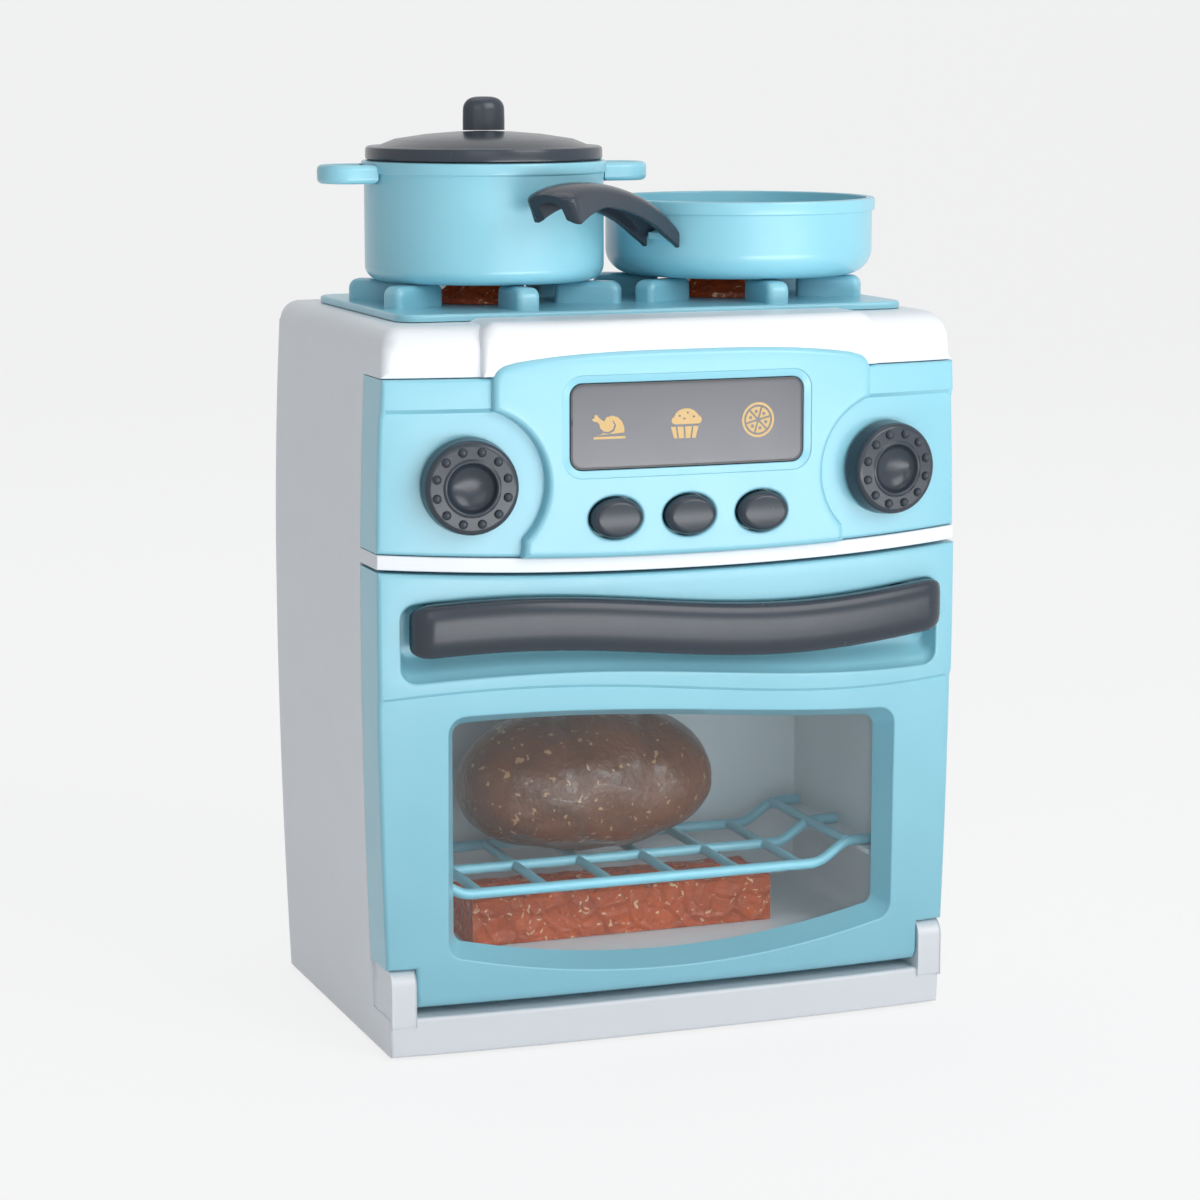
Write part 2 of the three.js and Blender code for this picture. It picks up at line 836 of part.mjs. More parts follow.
// Cabinet: one skin bowed at the front, with the door's hinge ears and the plinth below
const cabinetOutline = (() => {
  const shoulder = topLevel - cornerRadius;
  const right = sides(footHeight, shoulder, 8);
  const top = halfWidth(topLevel);
  const corner = arc(top - cornerRadius, shoulder, cornerRadius, 0, quarterTurn, 5).slice(1);
  const half = [...right, ...corner];
  return mirrored(half);
})();

// The front's upper edge rolls back to the top face
function rolledFace(offset, height, depth, top) {
  return (x, z) => {
    const rise = THREE.MathUtils.clamp((z - (top - height)) / height, 0, 1);
    return frontFace(x, z) + offset + depth * (1 - Math.sqrt(1 - rise * rise));
  };
}

function rolledLevels(height, top) {
  return [0, 0.4, 0.7, 0.9, 1].map((share) => top - height + height * share);
}

const shellLevels = [
  0,
  ...spread(doorBottom, doorTop, 3),
  ...rolledLevels(topEdgeHeight, topLevel),
];
const ovenOutline = roundedBox(-ovenHalf, ovenHalf, ovenBottom, ovenTop, cornerRadius, 3);
const ovenHole = prism(inset(ovenOutline, -clearance), farFront, flangeBack + overrun);
const gutterTop = doorBottom - skin - clearance;
const surroundFront = frontCorner + pocketDepth + skin + clearance;

function hingeEar(side) {
  const earTop = notchTop - clearance * 2;
  const front = frontFace(halfBody - notchWidth / 2, axleZ);
  const profile = [
    new THREE.Vector2(front, gutterTop - skin),
    new THREE.Vector2(flangeBack, gutterTop - skin),
    new THREE.Vector2(flangeBack, earTop),
    ...arc(front + earRadius, earTop - earRadius, earRadius, quarterTurn, Math.PI, 6),
  ];
  const geometry = new THREE.ExtrudeGeometry(new THREE.Shape(profile), {
    depth: notchWidth,
    bevelEnabled: false,
  });
  geometry.rotateX(quarterTurn);
  geometry.rotateZ(quarterTurn);
  const inner = halfBody - notchWidth;
  geometry.translate(side > 0 ? inner : -halfBody, 0, 0);
  return toSolid(geometry).intersect(prism(cabinetOutline, farFront, flangeBack));
}

function cabinetShell() {
  const rolled = (offset) => rolledFace(offset, topEdgeHeight, topEdgeDepth, topLevel);
  const outer = slab(rolled(0), flatFace(-frontCorner), shellLevels).intersect(
    prism(cabinetOutline, farFront, -frontCorner),
  );
  const innerOutline = inset(cabinetOutline, skin).map(
    (p) => new THREE.Vector2(p.x, p.y < skin * 2 ? -overrun : p.y),
  );
  const innerLevels = [-overrun, ...shellLevels.slice(1)];
  const inner = slab(rolled(skin), flatFace(overrun - frontCorner), innerLevels).intersect(
    prism(innerOutline, farFront, overrun - frontCorner),
  );
  const strip = bandOutline(doorTop + doorGap, panelBottom - clearance, true, true);
  const stripBody = frontSlab(0, flatFace(flangeBack), shellLevels).intersect(
    prism(strip, farFront, flangeBack),
  );
  const flange = prism(cabinetOutline, flangeFront, flangeBack).intersect(
    across(flangeFront, flangeBack, footHeight + baseThickness + clearance, topLevel),
  );
  const bayHalf = halfBody - wrapDepth / 3 - skin * 2;
  const bayBottom = panelBottom + edgeRise + skin * 2;
  const bayOutline = roundedBox(-bayHalf, bayHalf, bayBottom, panelTop - skin * 2, cornerRadius, 3);
  const bay = prism(bayOutline, farFront, flangeBack + overrun);
  const frontZone = across(farFront, flangeFront, gutterTop, panelTop + clearance);
  const shell = outer.subtract(inner).subtract(frontZone);
  const plinthHollow = frontSlab(skin, flatFace(flangeBack), [-overrun, doorBottom])
    .intersect(prism(innerOutline, farFront, flangeBack))
    .intersect(across(farFront, flangeBack, -overrun, gutterTop - skin));
  const plinth = frontSlab(0, flatFace(flangeBack), [0, doorBottom])
    .intersect(prism(cabinetOutline, farFront, flangeBack))
    .intersect(across(farFront, flangeBack, 0, gutterTop))
    .subtract(plinthHollow);
  const surroundHalf = halfWidth(doorTop) - skin - clearance * 2 - lowerNarrowing / 2;
  const surroundTop = doorTop - skin - clearance * 2;
  const surround = prism(
    roundedBox(-surroundHalf, surroundHalf, lipTop + clearance, surroundTop, cornerRadius, 3),
    surroundFront,
    flangeBack,
  );
  const ears = [hingeEar(-1), hingeEar(1)];
  const front = [plinth, stripBody, flange, surround, ...ears, hoodRise()];
  const solid = join([shell, ...backBosses(), ...front]);
  const holes = [
    ovenHole,
    bay,
    prism(inset(shield, -clearance), farFront, wrapBack)
      .intersect(frontSlab(-wrapDepth / 2, -clearance / 3, panelLevels))
      .intersect(across(farFront, wrapBack, panelTop - skin, topLevel)),
  ];
  for (const side of [-1, 1]) {
    const inside = side * (halfBody - notchWidth);
    const outside = side * (halfBody - notchWidth + pinLength / 2 + clearance);
    holes.push(pegAlongX(axleY, axleZ, inside - side * overrun, outside, pinRadius + pinClearance));
  }
  return cut(solid, holes);
}

// Hood: the low rise of the top that the shield's crest leans against
function hoodRise() {
  const low = panelTop + skin * 2;
  const top = topLevel + hoodHeight;
  const back = -trayDepth / 2 - clearance;
  const outline = mirrored([
    new THREE.Vector2(shieldHalfTop - shieldCorner / 2, low),
    ...arc(shieldHalfTop - shieldCorner * 2, top - shieldCorner, shieldCorner, 0, quarterTurn, 4),
  ]);
  const face = rolledFace(-hoodRaise, shieldCorner, shieldCorner, top);
  const levels = [low - overrun, ...rolledLevels(shieldCorner, top)];
  return slab(face, flatFace(back), levels).intersect(prism(outline, farFront, back));
}

// Door: a bowed cover with a window, a raised upper band and a pocket behind the handle
const doorSideTop = doorTop + edgeRise;

function doorOutline() {
  const inside = halfBody - notchWidth - clearance;
  const step = [new THREE.Vector2(inside, doorBottom), new THREE.Vector2(inside, notchTop)];
  const right = sides(notchTop, doorSideTop, 7);
  const reach = halfWidth(doorSideTop);
  const top = spread(1, 0, 6)
    .slice(1, -1)
    .map((s) => new THREE.Vector2(s * reach, bandEdge(s * reach, doorTop)));
  const half = [...step, ...right, ...top];
  const onLeft = half.map((p) => new THREE.Vector2(-p.x, p.y)).reverse();
  return [...half, new THREE.Vector2(0, doorTop), ...onLeft];
}

function doorFace(x, z) {
  const low = THREE.MathUtils.clamp((doorBottom + doorEdgeRadius - z) / doorEdgeRadius, 0, 1);
  return frontFace(x, z) + doorEdgeRadius * (1 - Math.sqrt(1 - low * low));
}

const doorLevels = [
  doorBottom - overrun,
  ...[0, 0.25, 1].map((share) => doorBottom + doorEdgeRadius * share),
  ...spread(doorBottom + doorEdgeRadius, doorTop, 3).slice(1),
  doorSideTop + overrun,
];

function handleLine(x) {
  return wave(x, handleLevel, handleSwing, handleCrest, handleHalfWave);
}

function pocketOutline() {
  const half = pocketHalf;
  const low = (x) => wave(x, pocketFloor, pocketSwing, pocketCrest, pocketHalfWave);
  const high = (x) => handleLine(x) + handleHeight / 2 + clearance * 4;
  const edge = half - pocketCorner;
  const bottom = spread(-edge, edge, 9).map((x) => new THREE.Vector2(x, low(x)));
  const top = spread(edge, -edge, 9).map((x) => new THREE.Vector2(x, high(x)));
  const corner = (x, z, from) => arc(x, z, pocketCorner, from, from + quarterTurn, 3).slice(1, -1);
  return [
    ...bottom,
    ...corner(edge, low(edge) + pocketCorner, -quarterTurn),
    new THREE.Vector2(half, low(edge) + pocketCorner),
    new THREE.Vector2(half, high(edge) - pocketCorner),
    ...corner(edge, high(edge) - pocketCorner, 0),
    ...top,
    ...corner(-edge, high(-edge) - pocketCorner, quarterTurn),
    new THREE.Vector2(-half, high(-edge) - pocketCorner),
    new THREE.Vector2(-half, low(-edge) + pocketCorner),
    ...corner(-edge, low(-edge) + pocketCorner, Math.PI),
  ];
}

// The window's edge, moved inwards by an amount, with corners of its own radius
function windowOutline(moved, radius) {
  const half = windowHalf - moved;
  const edge = half - radius;
  const foot = windowFoot + moved;
  const high = (x) => wave(x, windowTop, windowSwing, windowCrest, windowHalfWave) - moved;
  const low = (x) => foot - windowSag * (1 - (x / edge) ** 2);
  const bottom = spread(-edge, edge, 9).map((x) => new THREE.Vector2(x, low(x)));
  const top = spread(edge, -edge, 9).map((x) => new THREE.Vector2(x, high(x)));
  const corner = (x, z, from) => arc(x, z, radius, from, from + quarterTurn, 3).slice(1, -1);
  return [
    ...bottom,
    new THREE.Vector2(half, foot + radius),
    new THREE.Vector2(half, high(edge) - radius),
    ...corner(edge, high(edge) - radius, 0),
    ...top,
    ...corner(-edge, high(-edge) - radius, quarterTurn),
    new THREE.Vector2(-half, high(-edge) - radius),
    new THREE.Vector2(-half, foot + radius),
  ];
}

function loopAt(outline, y) {
  return outline.map((p) => new THREE.Vector3(p.x, typeof y === "number" ? y : y(p.x, p.y), p.y));
}

const windowEdge = windowOutline(0, windowCorner);
const windowInner = windowOutline(revealWidth, windowInnerCorner);
const paneEdge = windowOutline(revealWidth - paneLap, windowInnerCorner);
const screwPlaces = [-1, 1].map((side) => {
  const x = side * (handleHalf - handleFoot);
  const near = frontFace(x - side * handleFoot / 2, handleLevel) + pocketDepth;
  const far = frontFace(x + side * handleScrewHead, handleLevel) + pocketDepth;
  return { side, x, z: handleLine(x), near, far };
});

function doorShell() {
  const outline = doorOutline();
  const base = cover(outline, doorFace, doorLevels);
  const bandTop = spread(halfBody, -halfBody, 12).map((x) => new THREE.Vector2(x, doorSideTop));
  const bandLow = spread(-halfBody, halfBody, 12).map(
    (x) => new THREE.Vector2(x, wave(x, bandLevel, bandSwing, bandCrest, bandHalfWave)),
  );
  const band = frontSlab(-bandRaise, skin / 2, doorLevels)
    .intersect(prism([...bandLow, ...bandTop], farFront, wrapBack))
    .intersect(prism(outline, farFront, wrapBack));
  const pocket = pocketOutline();
  const tub = frontSlab(0, pocketDepth + skin, doorLevels).intersect(
    prism(inset(pocket, -skin), farFront, wrapBack),
  );
  const reveal = loft([
    loopAt(windowOutline(-skin, windowCorner), (x, z) => frontFace(x, z) + skin / 2),
    loopAt(paneEdge, revealBack),
  ]);
  const opening = loft([
    loopAt(windowEdge, farFront),
    loopAt(windowEdge, (x, z) => frontFace(x, z) - clearance),
    loopAt(windowInner, revealBack),
    loopAt(windowInner, revealBack + skin),
  ]);
  const holes = [
    frontSlab(-wrapDepth, pocketDepth, doorLevels).intersect(prism(pocket, farFront, wrapBack)),
    opening,
    across(axleY + lipDepth, wrapBack + overrun, 0, lipTop).intersect(
      prism(
        roundedBox(skin - halfWidth(lipTop), halfWidth(lipTop) - skin, 0, lipTop, clearance, 1),
        farFront,
        wrapBack + overrun,
      ),
    ),
    ...screwPlaces.map((p) =>
      pegAlongY(p.x, p.z, p.near - overrun, wrapBack, handleScrewRadius + clearance, 12),
    ),
    ...[-1, 1].map((side) => {
      const wallSide = side * (halfBody - notchWidth);
      return pegAlongX(
        axleY,
        axleZ,
        wallSide - side * (skin + overrun),
        wallSide,
        pinRadius + pinClearance,
      );
    }),
  ];
  return cut(join([base, band, tub, reveal]), holes);
}

// Window pane: lies against the back of the reveal
function doorWindow() {
  const front = revealBack + clearance;
  return prism(paneEdge, front, front + fineSkin);
}

// Handle: a waved bar on two feet that stand on the floor of the pocket
function doorHandle() {
  const half = handleHeight / 2;
  const thick = handleThickness / 2;
  const section = spread(0, fullTurn, 14).slice(0, -1);
  const ends = [0, 0.35, 0.7, 1];
  const tips = ends.map((share) => ({ inner: thick * share, size: Math.sqrt(share * (2 - share)) }));
  const run = spread(-handleHalf + thick, handleHalf - thick, 16).slice(1, -1);
  const stations = [
    ...tips.map(({ inner, size }) => ({ x: inner - handleHalf, size })),
    ...run.map((x) => ({ x, size: 1 })),
    ...tips.map(({ inner, size }) => ({ x: handleHalf - inner, size })).reverse(),
  ];
  const loops = stations.map(({ x, size }) => {
    const scale = 0.55 + 0.45 * size;
    const middle = frontFace(x, handleLevel) - handleStand + thick;
    return section.map((angle) => {
      const c = Math.cos(angle);
      const s = Math.sin(angle);
      const y = middle + thick * scale * Math.sign(c) * Math.abs(c) ** 0.7;
      const z = handleLine(x) + half * scale * Math.sign(s) * Math.abs(s) ** 0.6;
      return new THREE.Vector3(x, y, z);
    });
  });
  const feet = screwPlaces.map((p) => {
    const back = p.near - clearance;
    const wide = handleFoot / 2;
    const high = half * 0.7;
    const outline = roundedBox(p.x - wide, p.x + wide, p.z - high, p.z + high, 2 * fineSkin, 2);
    return prism(outline, back - pocketDepth - thick, back);
  });
  const bores = screwPlaces.map((p) =>
    pegAlongY(p.x, p.z, p.near - handleScrewLength, p.near, handleScrewRadius + clearance, 12),
  );
  return cut(join([loft(loops), ...feet]), bores);
}

function handleScrew(place) {
  const seat = place.far + skin + clearance;
  const shank = pegAlongY(
    place.x,
    place.z,
    seat - handleScrewLength,
    seat + clearance,
    handleScrewRadius,
    10,
  );
  return shank.add(pegAlongY(place.x, place.z, seat, seat + screwHeadHeight, handleScrewHead, 14));
}

// Hinge pin: headed on the inside of the door, running in the ear of the plinth
function hingePin(side) {
  const wallInside = halfBody - notchWidth - clearance - skin;
  const head = pegAlongX(
    axleY,
    axleZ,
    side * (wallInside - clearance - screwHeadHeight),
    side * (wallInside - clearance),
    pinRadius * 1.8,
  );
  const pin = pegAlongX(
    axleY,
    axleZ,
    side * (wallInside - screwHeadHeight),
    side * (halfBody - notchWidth + pinLength / 2),
    pinRadius,
  );
  return head.add(pin);
}

// Oven: an open box with ledges for the rack
function ovenLiner() {
  const outer = prism(ovenOutline, ovenFront, ovenBack);
  const inner = prism(inset(ovenOutline, fineSkin), ovenFront - overrun, ovenBack - fineSkin);
  const ledges = [-1, 1].map((side) => {
    const wallSide = side * (ovenHalf - fineSkin / 2);
    const edge = side * (ovenHalf - fineSkin - ledgeDepth);
    return box(
      Math.min(wallSide, edge),
      Math.max(wallSide, edge),
      ovenFront,
      ovenBack - fineSkin,
      ledgeLevel - ledgeThickness,
      ledgeLevel,
    );
  });
  return join([outer.subtract(inner), ...ledges]);
}

// A round wire through a list of points, mitred at its bends
function wire(points, radius, steps, side) {
  const loops = points.map((p, i) => {
    const before = points[Math.max(0, i - 1)];
    const after = points[Math.min(points.length - 1, i + 1)];
    const along = new THREE.Vector3().subVectors(after, before).normalize();
    const up = new THREE.Vector3().crossVectors(along, side).normalize();
    return spread(0, fullTurn, steps)
      .slice(0, -1)
      .map((a) =>
        p
          .clone()
          .addScaledVector(side, radius * Math.cos(a))
          .addScaledVector(up, radius * Math.sin(a)),
      );
  });
  return loft(loops);
}

function ovenRack() {
  const radius = rackWire / 2;
  const seat = ledgeLevel + clearance + radius;
  const reach = ovenHalf - fineSkin - rackSideGap;
  const rows = spread(0, rackRows - 1, rackRows - 1).map((i) => rackFront + i * rackRowPitch);
  const bend = (side, x, y, z) => new THREE.Vector3(rackShift + side * x, y, z);
  const bars = rows.map((y) =>
    wire(
      [
        new THREE.Vector3(-reach, y, seat),
        bend(-1, rackFlatHalf + rackRise, y, seat),
        bend(-1, rackFlatHalf, y, rackLevel),
        bend(1, rackFlatHalf, y, rackLevel),
        bend(1, rackFlatHalf + rackRise, y, seat),
        new THREE.Vector3(reach, y, seat),
      ],
      radius,
      6,
      new THREE.Vector3(0, 1, 0),
    ),
  );
  const last = rows[rows.length - 1];
  const outermost = ((rackColumns - 1) * rackPitch) / 2;
  const columns = spread(-outermost, outermost, rackColumns - 1);
  const cross = columns.map((x) => [rackShift + x, rackLevel]);
  const rails = [-1, 1].map((side) => [rackShift + side * (rackFlatHalf + rackRise), seat]);
  const runs = [...cross, ...rails].map(([x, z]) =>
    wire(
      [new THREE.Vector3(x, rows[0], z), new THREE.Vector3(x, last, z)],
      radius * 0.92,
      6,
      new THREE.Vector3(1, 0, 0),
    ),
  );
  return join([...bars, ...runs]);
}

// Ember bed: a block with a lumpy top, hollow underneath for its lamp
function emberBlock() {
  const low = ovenBottom + fineSkin + clearance;
  const back = emberFront + emberDepth;
  const long = spread(-emberHalf, emberHalf, 16);
  const wide = spread(emberFront, back, 5);
  const lump = (i, j) => Math.sin(i * 2.1 + j * 1.7) * Math.cos(i * 0.9 - j * 2.3);
  const loops = long.map((x, i) => [
    new THREE.Vector3(x, emberFront, low),
    ...wide.map((y, j) => new THREE.Vector3(x, y, low + emberHeight + emberLump * lump(i, j))),
    new THREE.Vector3(x, back, low),
  ]);
  const middle = emberFront + emberDepth / 2;
  const hollow = post(0, middle, low - overrun, low + emberHollow, emberLampRadius * 1.5);
  return loft(loops).subtract(hollow);
}

function emberLamp() {
  const low = ovenBottom + fineSkin + clearance;
  return post(0, emberFront + emberDepth / 2, low, low + emberLampHeight, emberLampRadius, 14);
}

// Hob: the tray with six fins round each burner
const burnerPlaces = [-burnerPitch / 2, burnerPitch / 2];

function fin(x, turn) {
  const top = finHeight;
  const profile = [
    new THREE.Vector2(finInner, -trayThickness / 2),
    new THREE.Vector2(finOuter, -trayThickness / 2),
    ...arc(finOuter - finCorner, top - finCorner, finCorner, 0, quarterTurn, 4),
    ...arc(finInner + finSlope, top - finSlope, finSlope, quarterTurn, Math.PI, 2),
  ];
  const geometry = new THREE.ExtrudeGeometry(new THREE.Shape(profile), {
    depth: finThickness,
    bevelEnabled: false,
  });
  geometry.rotateX(quarterTurn);
  geometry.translate(0, finThickness / 2, 0);
  geometry.rotateZ(turn);
  geometry.translate(x, 0, hobLevel);
  return toSolid(geometry);
}

function hobTray() {
  const wide = trayWidth / 2;
  const deep = trayDepth / 2;
  const outline = roundedBox(-wide, wide, -deep, deep, trayCorner);
  const pieces = [plate(outline, trayLevel, hobLevel)];
  const holes = [];
  for (const x of burnerPlaces) {
    for (let i = 0; i < fins; i++) {
      pieces.push(fin(x, fullTurn * (i / fins + firstFinShare)));
    }
    holes.push(post(x, 0, trayLevel - overrun, hobLevel + overrun, burnerLampRadius + clearance * 2));
  }
  return cut(join(pieces), holes);
}

// Burner: a translucent crown pierced by flame-shaped arches, lit from below
function burnerCrown(x) {
  const low = hobLevel + clearance;
  const high = low + crownHeight;
  const profile = [
    new THREE.Vector2(crownRadius - crownWall * 2, low),
    new THREE.Vector2(crownRadius, low),
    new THREE.Vector2(crownRadius, low + crownBase),
    new THREE.Vector2(crownTopRadius + crownWall, high),
    new THREE.Vector2(crownTopRadius, high),
    new THREE.Vector2(crownRadius - crownWall * 2, low),
  ];
  const cone = toSolid(turned(profile, 20));
  const arches = spread(0, fullTurn, crownArches)
    .slice(0, -1)
    .map((angle) => {
      const level = (low + crownBase + high) / 2;
      const from = new THREE.Vector3(0, 0, level);
      const to = new THREE.Vector3(crownRadius * Math.cos(angle), crownRadius * Math.sin(angle), level);
      return rod(from, to, crownArch / 3, 6);
    });
  return cut(cone, arches).translate([x, 0, 0]);
}

function burnerLamp(x) {
  return post(x, 0, trayLevel, trayLevel + burnerLampHeight, burnerLampRadius, 14);
}

// Back: a cover screwed to four bosses, with the battery box and the speaker on its inside
const backFace = -frontCorner;
const coverFront = backFace - skin;
const backOutline = inset(cabinetOutline, skin + clearance);
const bossX = halfWidth(footHeight) - skin - backBossRadius;
const lowBoss = footHeight + baseThickness + backBossRadius * 2;
const highBoss = topLevel - cornerRadius - backBossRadius;
const bossLevels = [lowBoss, highBoss];
const bossPlaces = bossLevels.flatMap((z) => [-1, 1].map((side) => [side * bossX, z]));

function backBosses() {
  const back = coverFront - clearance;
  return bossPlaces.map(([x, z]) => {
    const outside = Math.sign(x) * (halfWidth(z) - skin / 2);
    const rib = box(
      Math.min(x, outside),
      Math.max(x, outside),
      back - backBossLength,
      back,
      z - fineSkin,
      z + fineSkin,
    );
    const boss = pegAlongY(x, z, back - backBossLength, back, backBossRadius, 12);
    const bore = pegAlongY(x, z, back - screwLength, back + overrun, screwRadius + clearance, 8);
    return boss.add(rib).subtract(bore);
  });
}

const batteryOutline = roundedBox(
  -batteryWidth / 2,
  batteryWidth / 2,
  batteryLevel - batteryHeight / 2,
  batteryLevel + batteryHeight / 2,
  3 * fineSkin,
  3,
);
const coverScrewLevel = batteryLevel - batteryHeight / 2 + screwHead * 1.3;

function backCover() {
  const base = prism(backOutline, coverFront, backFace);
  const holes = [prism(inset(batteryOutline, -clearance), coverFront - overrun, backFace + overrun)];
  for (const [x, z] of bossPlaces) {
    holes.push(pegAlongY(x, z, coverFront - overrun, backFace + overrun, screwRadius + clearance, 10));
  }
  for (const i of spread((1 - grilleSlots) / 2, (grilleSlots - 1) / 2, grilleSlots - 1)) {
    const z = speakerLevel + i * grillePitch;
    const half = Math.sqrt(speakerRadius ** 2 - (i * grillePitch) ** 2) - grilleSlot;
    const high = grilleSlot / 2;
    const slot = roundedBox(speakerX - half, speakerX + half, z - high, z + high, high * 0.95, 3);
    holes.push(prism(slot, coverFront - overrun, backFace + overrun));
  }
  return cut(base, holes);
}

function backScrew(x, z) {
  const seat = backFace + clearance;
  const head = pegAlongY(x, z, seat, seat + screwHeadHeight, screwHead, 12);
  const front = coverFront - screwLength + clearance * 2;
  return head.add(pegAlongY(x, z, front, backFace + clearance * 2, screwRadius, 8));
}

function batteryBox() {
  const back = coverFront - clearance;
  const front = back - batteryDepth;
  const flange = prism(inset(batteryOutline, -fineSkin * 2), back - fineSkin, back);
  const body = prism(inset(batteryOutline, -fineSkin), front, back);
  const hollow = prism(batteryOutline, front + fineSkin, back + overrun);
  const boss = pegAlongY(0, coverScrewLevel, front, back, screwHead, 12);
  const boreRadius = screwRadius + clearance;
  const bore = pegAlongY(0, coverScrewLevel, back - screwLength, back + overrun, boreRadius, 8);
  return body.add(flange).subtract(hollow).add(boss).subtract(bore);
}

function batteryCell(i) {
  const x = (i - (batteries - 1) / 2) * batteryPitch;
  const y = coverFront - clearance - batteryDepth + fineSkin + batteryRadius + clearance;
  const low = batteryLevel - batteryLength / 2;
  const high = batteryLevel + batteryLength / 2;
  const nub = post(x, y, high - clearance, high + fineSkin, batteryRadius / 3, 8);
  return post(x, y, low, high, batteryRadius).add(nub);
}

function batteryCover() {
  const boreRadius = screwRadius + clearance;
  const bore = pegAlongY(0, coverScrewLevel, coverFront, backFace + overrun, boreRadius, 10);
  return prism(inset(batteryOutline, clearance), coverFront + clearance, backFace).subtract(bore);
}

function speaker() {
  const back = coverFront - clearance;
  const front = back - speakerDepth;
  const frame = pegAlongY(speakerX, speakerLevel, back - fineSkin, back, speakerRadius, 20);
  const magnet = pegAlongY(speakerX, speakerLevel, front, back, speakerRadius * 0.55, 16);
  const rimRadius = speakerRadius * 0.9;
  const neckRadius = speakerRadius * 0.5;
  const basket = new THREE.CylinderGeometry(rimRadius, neckRadius, speakerDepth * 0.6, 20);
  basket.translate(speakerX, back - speakerDepth * 0.45, speakerLevel);
  return join([frame, magnet, toSolid(basket)]);
}

// Underside: a base plate with a plugged foot near each corner
const baseHalf = halfWidth(footHeight) - skin - clearance * 2;
const baseFront = frontFace(halfBody, footHeight) + skin + clearance;
const baseBack = coverFront - clearance;
const footPlaces = [-1, 1].flatMap((sx) => [
  [sx * (baseHalf - footInsetX), baseFront + footInsetY],
  [sx * (baseHalf - footInsetX), baseBack - footInsetY],
]);

function basePlate() {
  const outline = roundedBox(-baseHalf, baseHalf, baseFront, baseBack, skin, 1);
  const body = plate(outline, footHeight, footHeight + baseThickness);
  const high = footHeight + baseThickness + overrun;
  const bore = footPlug + clearance / 2;
  const holes = footPlaces.map(([x, y]) => post(x, y, 0, high, bore, 12));
  return cut(body, holes);
}

function foot(x, y) {
  const disc = post(x, y, 0, footHeight - clearance, footRadius, 20);
  return disc.add(post(x, y, 0, footHeight + baseThickness, footPlug, 12));
}

// Pot: a turned body with a banded rim and two flat loops
function pot() {
  const inner = potRadius - potWall;
  const potFlat = potRadius - potFootCorner;
  const profile = [
    new THREE.Vector2(0, 0),
    new THREE.Vector2(potFlat, 0),
    ...arc(potFlat, potFootCorner, potFootCorner, -quarterTurn, 0, 4).slice(1),
    new THREE.Vector2(potRadius, potHeight - potBand),
    new THREE.Vector2(potRadius + potBandRaise, potHeight - potBand),
    new THREE.Vector2(potRadius + potBandRaise, potHeight),
    new THREE.Vector2(inner, potHeight),
    new THREE.Vector2(inner, potFootCorner),
    ...arc(potFlat, potFootCorner, potFootCorner - potWall, 0, -quarterTurn, 3).slice(1),
    new THREE.Vector2(0, potWall),
  ];
  const body = toSolid(turned(profile, 36));
  const ears = [-1, 1].map((side) => {
    const near = potRadius - potWall / 2;
    const tip = earReach - earHalfWidth;
    const outer = [
      new THREE.Vector2(near, -earHalfWidth),
      ...arc(tip, 0, earHalfWidth, -quarterTurn, quarterTurn, 10),
      new THREE.Vector2(near, earHalfWidth),
    ];
    const hole = [
      new THREE.Vector2(potRadius + potBandRaise, earBar - earHalfWidth),
      ...arc(tip, 0, earHalfWidth - earBar, -quarterTurn, quarterTurn, 8),
      new THREE.Vector2(potRadius + potBandRaise, earHalfWidth - earBar),
    ];
    const high = potHeight - potBandRaise;
    const loop = plate(outer, high - earThickness, high).subtract(
      plate(hole, high - earThickness - overrun, high + overrun),
    );
    return side > 0 ? loop : loop.rotate([0, 0, 180]);
  });
  return join([body, ...ears]).translate([potX, 0, panSeat]);
}

// Lid: a shallow dome with a rim band and a skirt that drops inside the pot
const lidSeat = panSeat + potHeight + clearance;

function lidShell() {
  const skirt = potRadius - potWall - clearance * 2;
  const band = lidBand;
  const profile = [
    new THREE.Vector2(0, band + lidDome - lidWall),
    new THREE.Vector2(lidRadius * 0.5, band + lidDome * 0.76 - lidWall),
    new THREE.Vector2(skirt - lidWall, band - lidWall),
    new THREE.Vector2(skirt - lidWall, -lidSkirt),
    new THREE.Vector2(skirt, -lidSkirt),
    new THREE.Vector2(skirt, 0),
    new THREE.Vector2(lidRadius, 0),
    new THREE.Vector2(lidRadius, band * 0.8),
    new THREE.Vector2(lidRadius - fineSkin, band),
    new THREE.Vector2(lidRadius * 0.75, band + lidDome * 0.45),
    new THREE.Vector2(lidRadius * 0.5, band + lidDome * 0.76),
    new THREE.Vector2(lidRadius * 0.25, band + lidDome * 0.94),
    new THREE.Vector2(0, band + lidDome),
  ];
  const dome = toSolid(turned(profile, 36));
  const bore = post(0, 0, 0, band + lidDome + overrun, lidKnobPlug + clearance, 12);
  return dome.subtract(bore).translate([potX, 0, lidSeat]);
}

// Lid knob: an upright tab with a rounded top, plugged into the lid
function lidKnob() {
  const low = lidBand + lidDome + clearance;
  const rings = [
    [0, 1],
    [0.3, 1],
    [0.6, 1],
    [0.78, 0.96],
    [0.9, 0.84],
    [0.97, 0.64],
    [1, 0.4],
  ].map(([rise, size]) =>
    ellipse(0, 0, lidKnobWidth * size, lidKnobDepth * size, 18).map(
      (p) => new THREE.Vector3(p.x, p.y, low + lidKnobHeight * rise),
    ),
  );
  const plug = post(0, 0, lidBand + lidDome - lidWall - fineSkin, low + fineSkin, lidKnobPlug, 12);
  const washer = post(
    0,
    0,
    lidBand + lidDome - lidWall - fineSkin * 2,
    lidBand + lidDome - lidWall - clearance,
    lidKnobPlug * 1.8,
    12,
  );
  return join([loft(rings), plug, washer]).translate([potX, 0, lidSeat]);
}

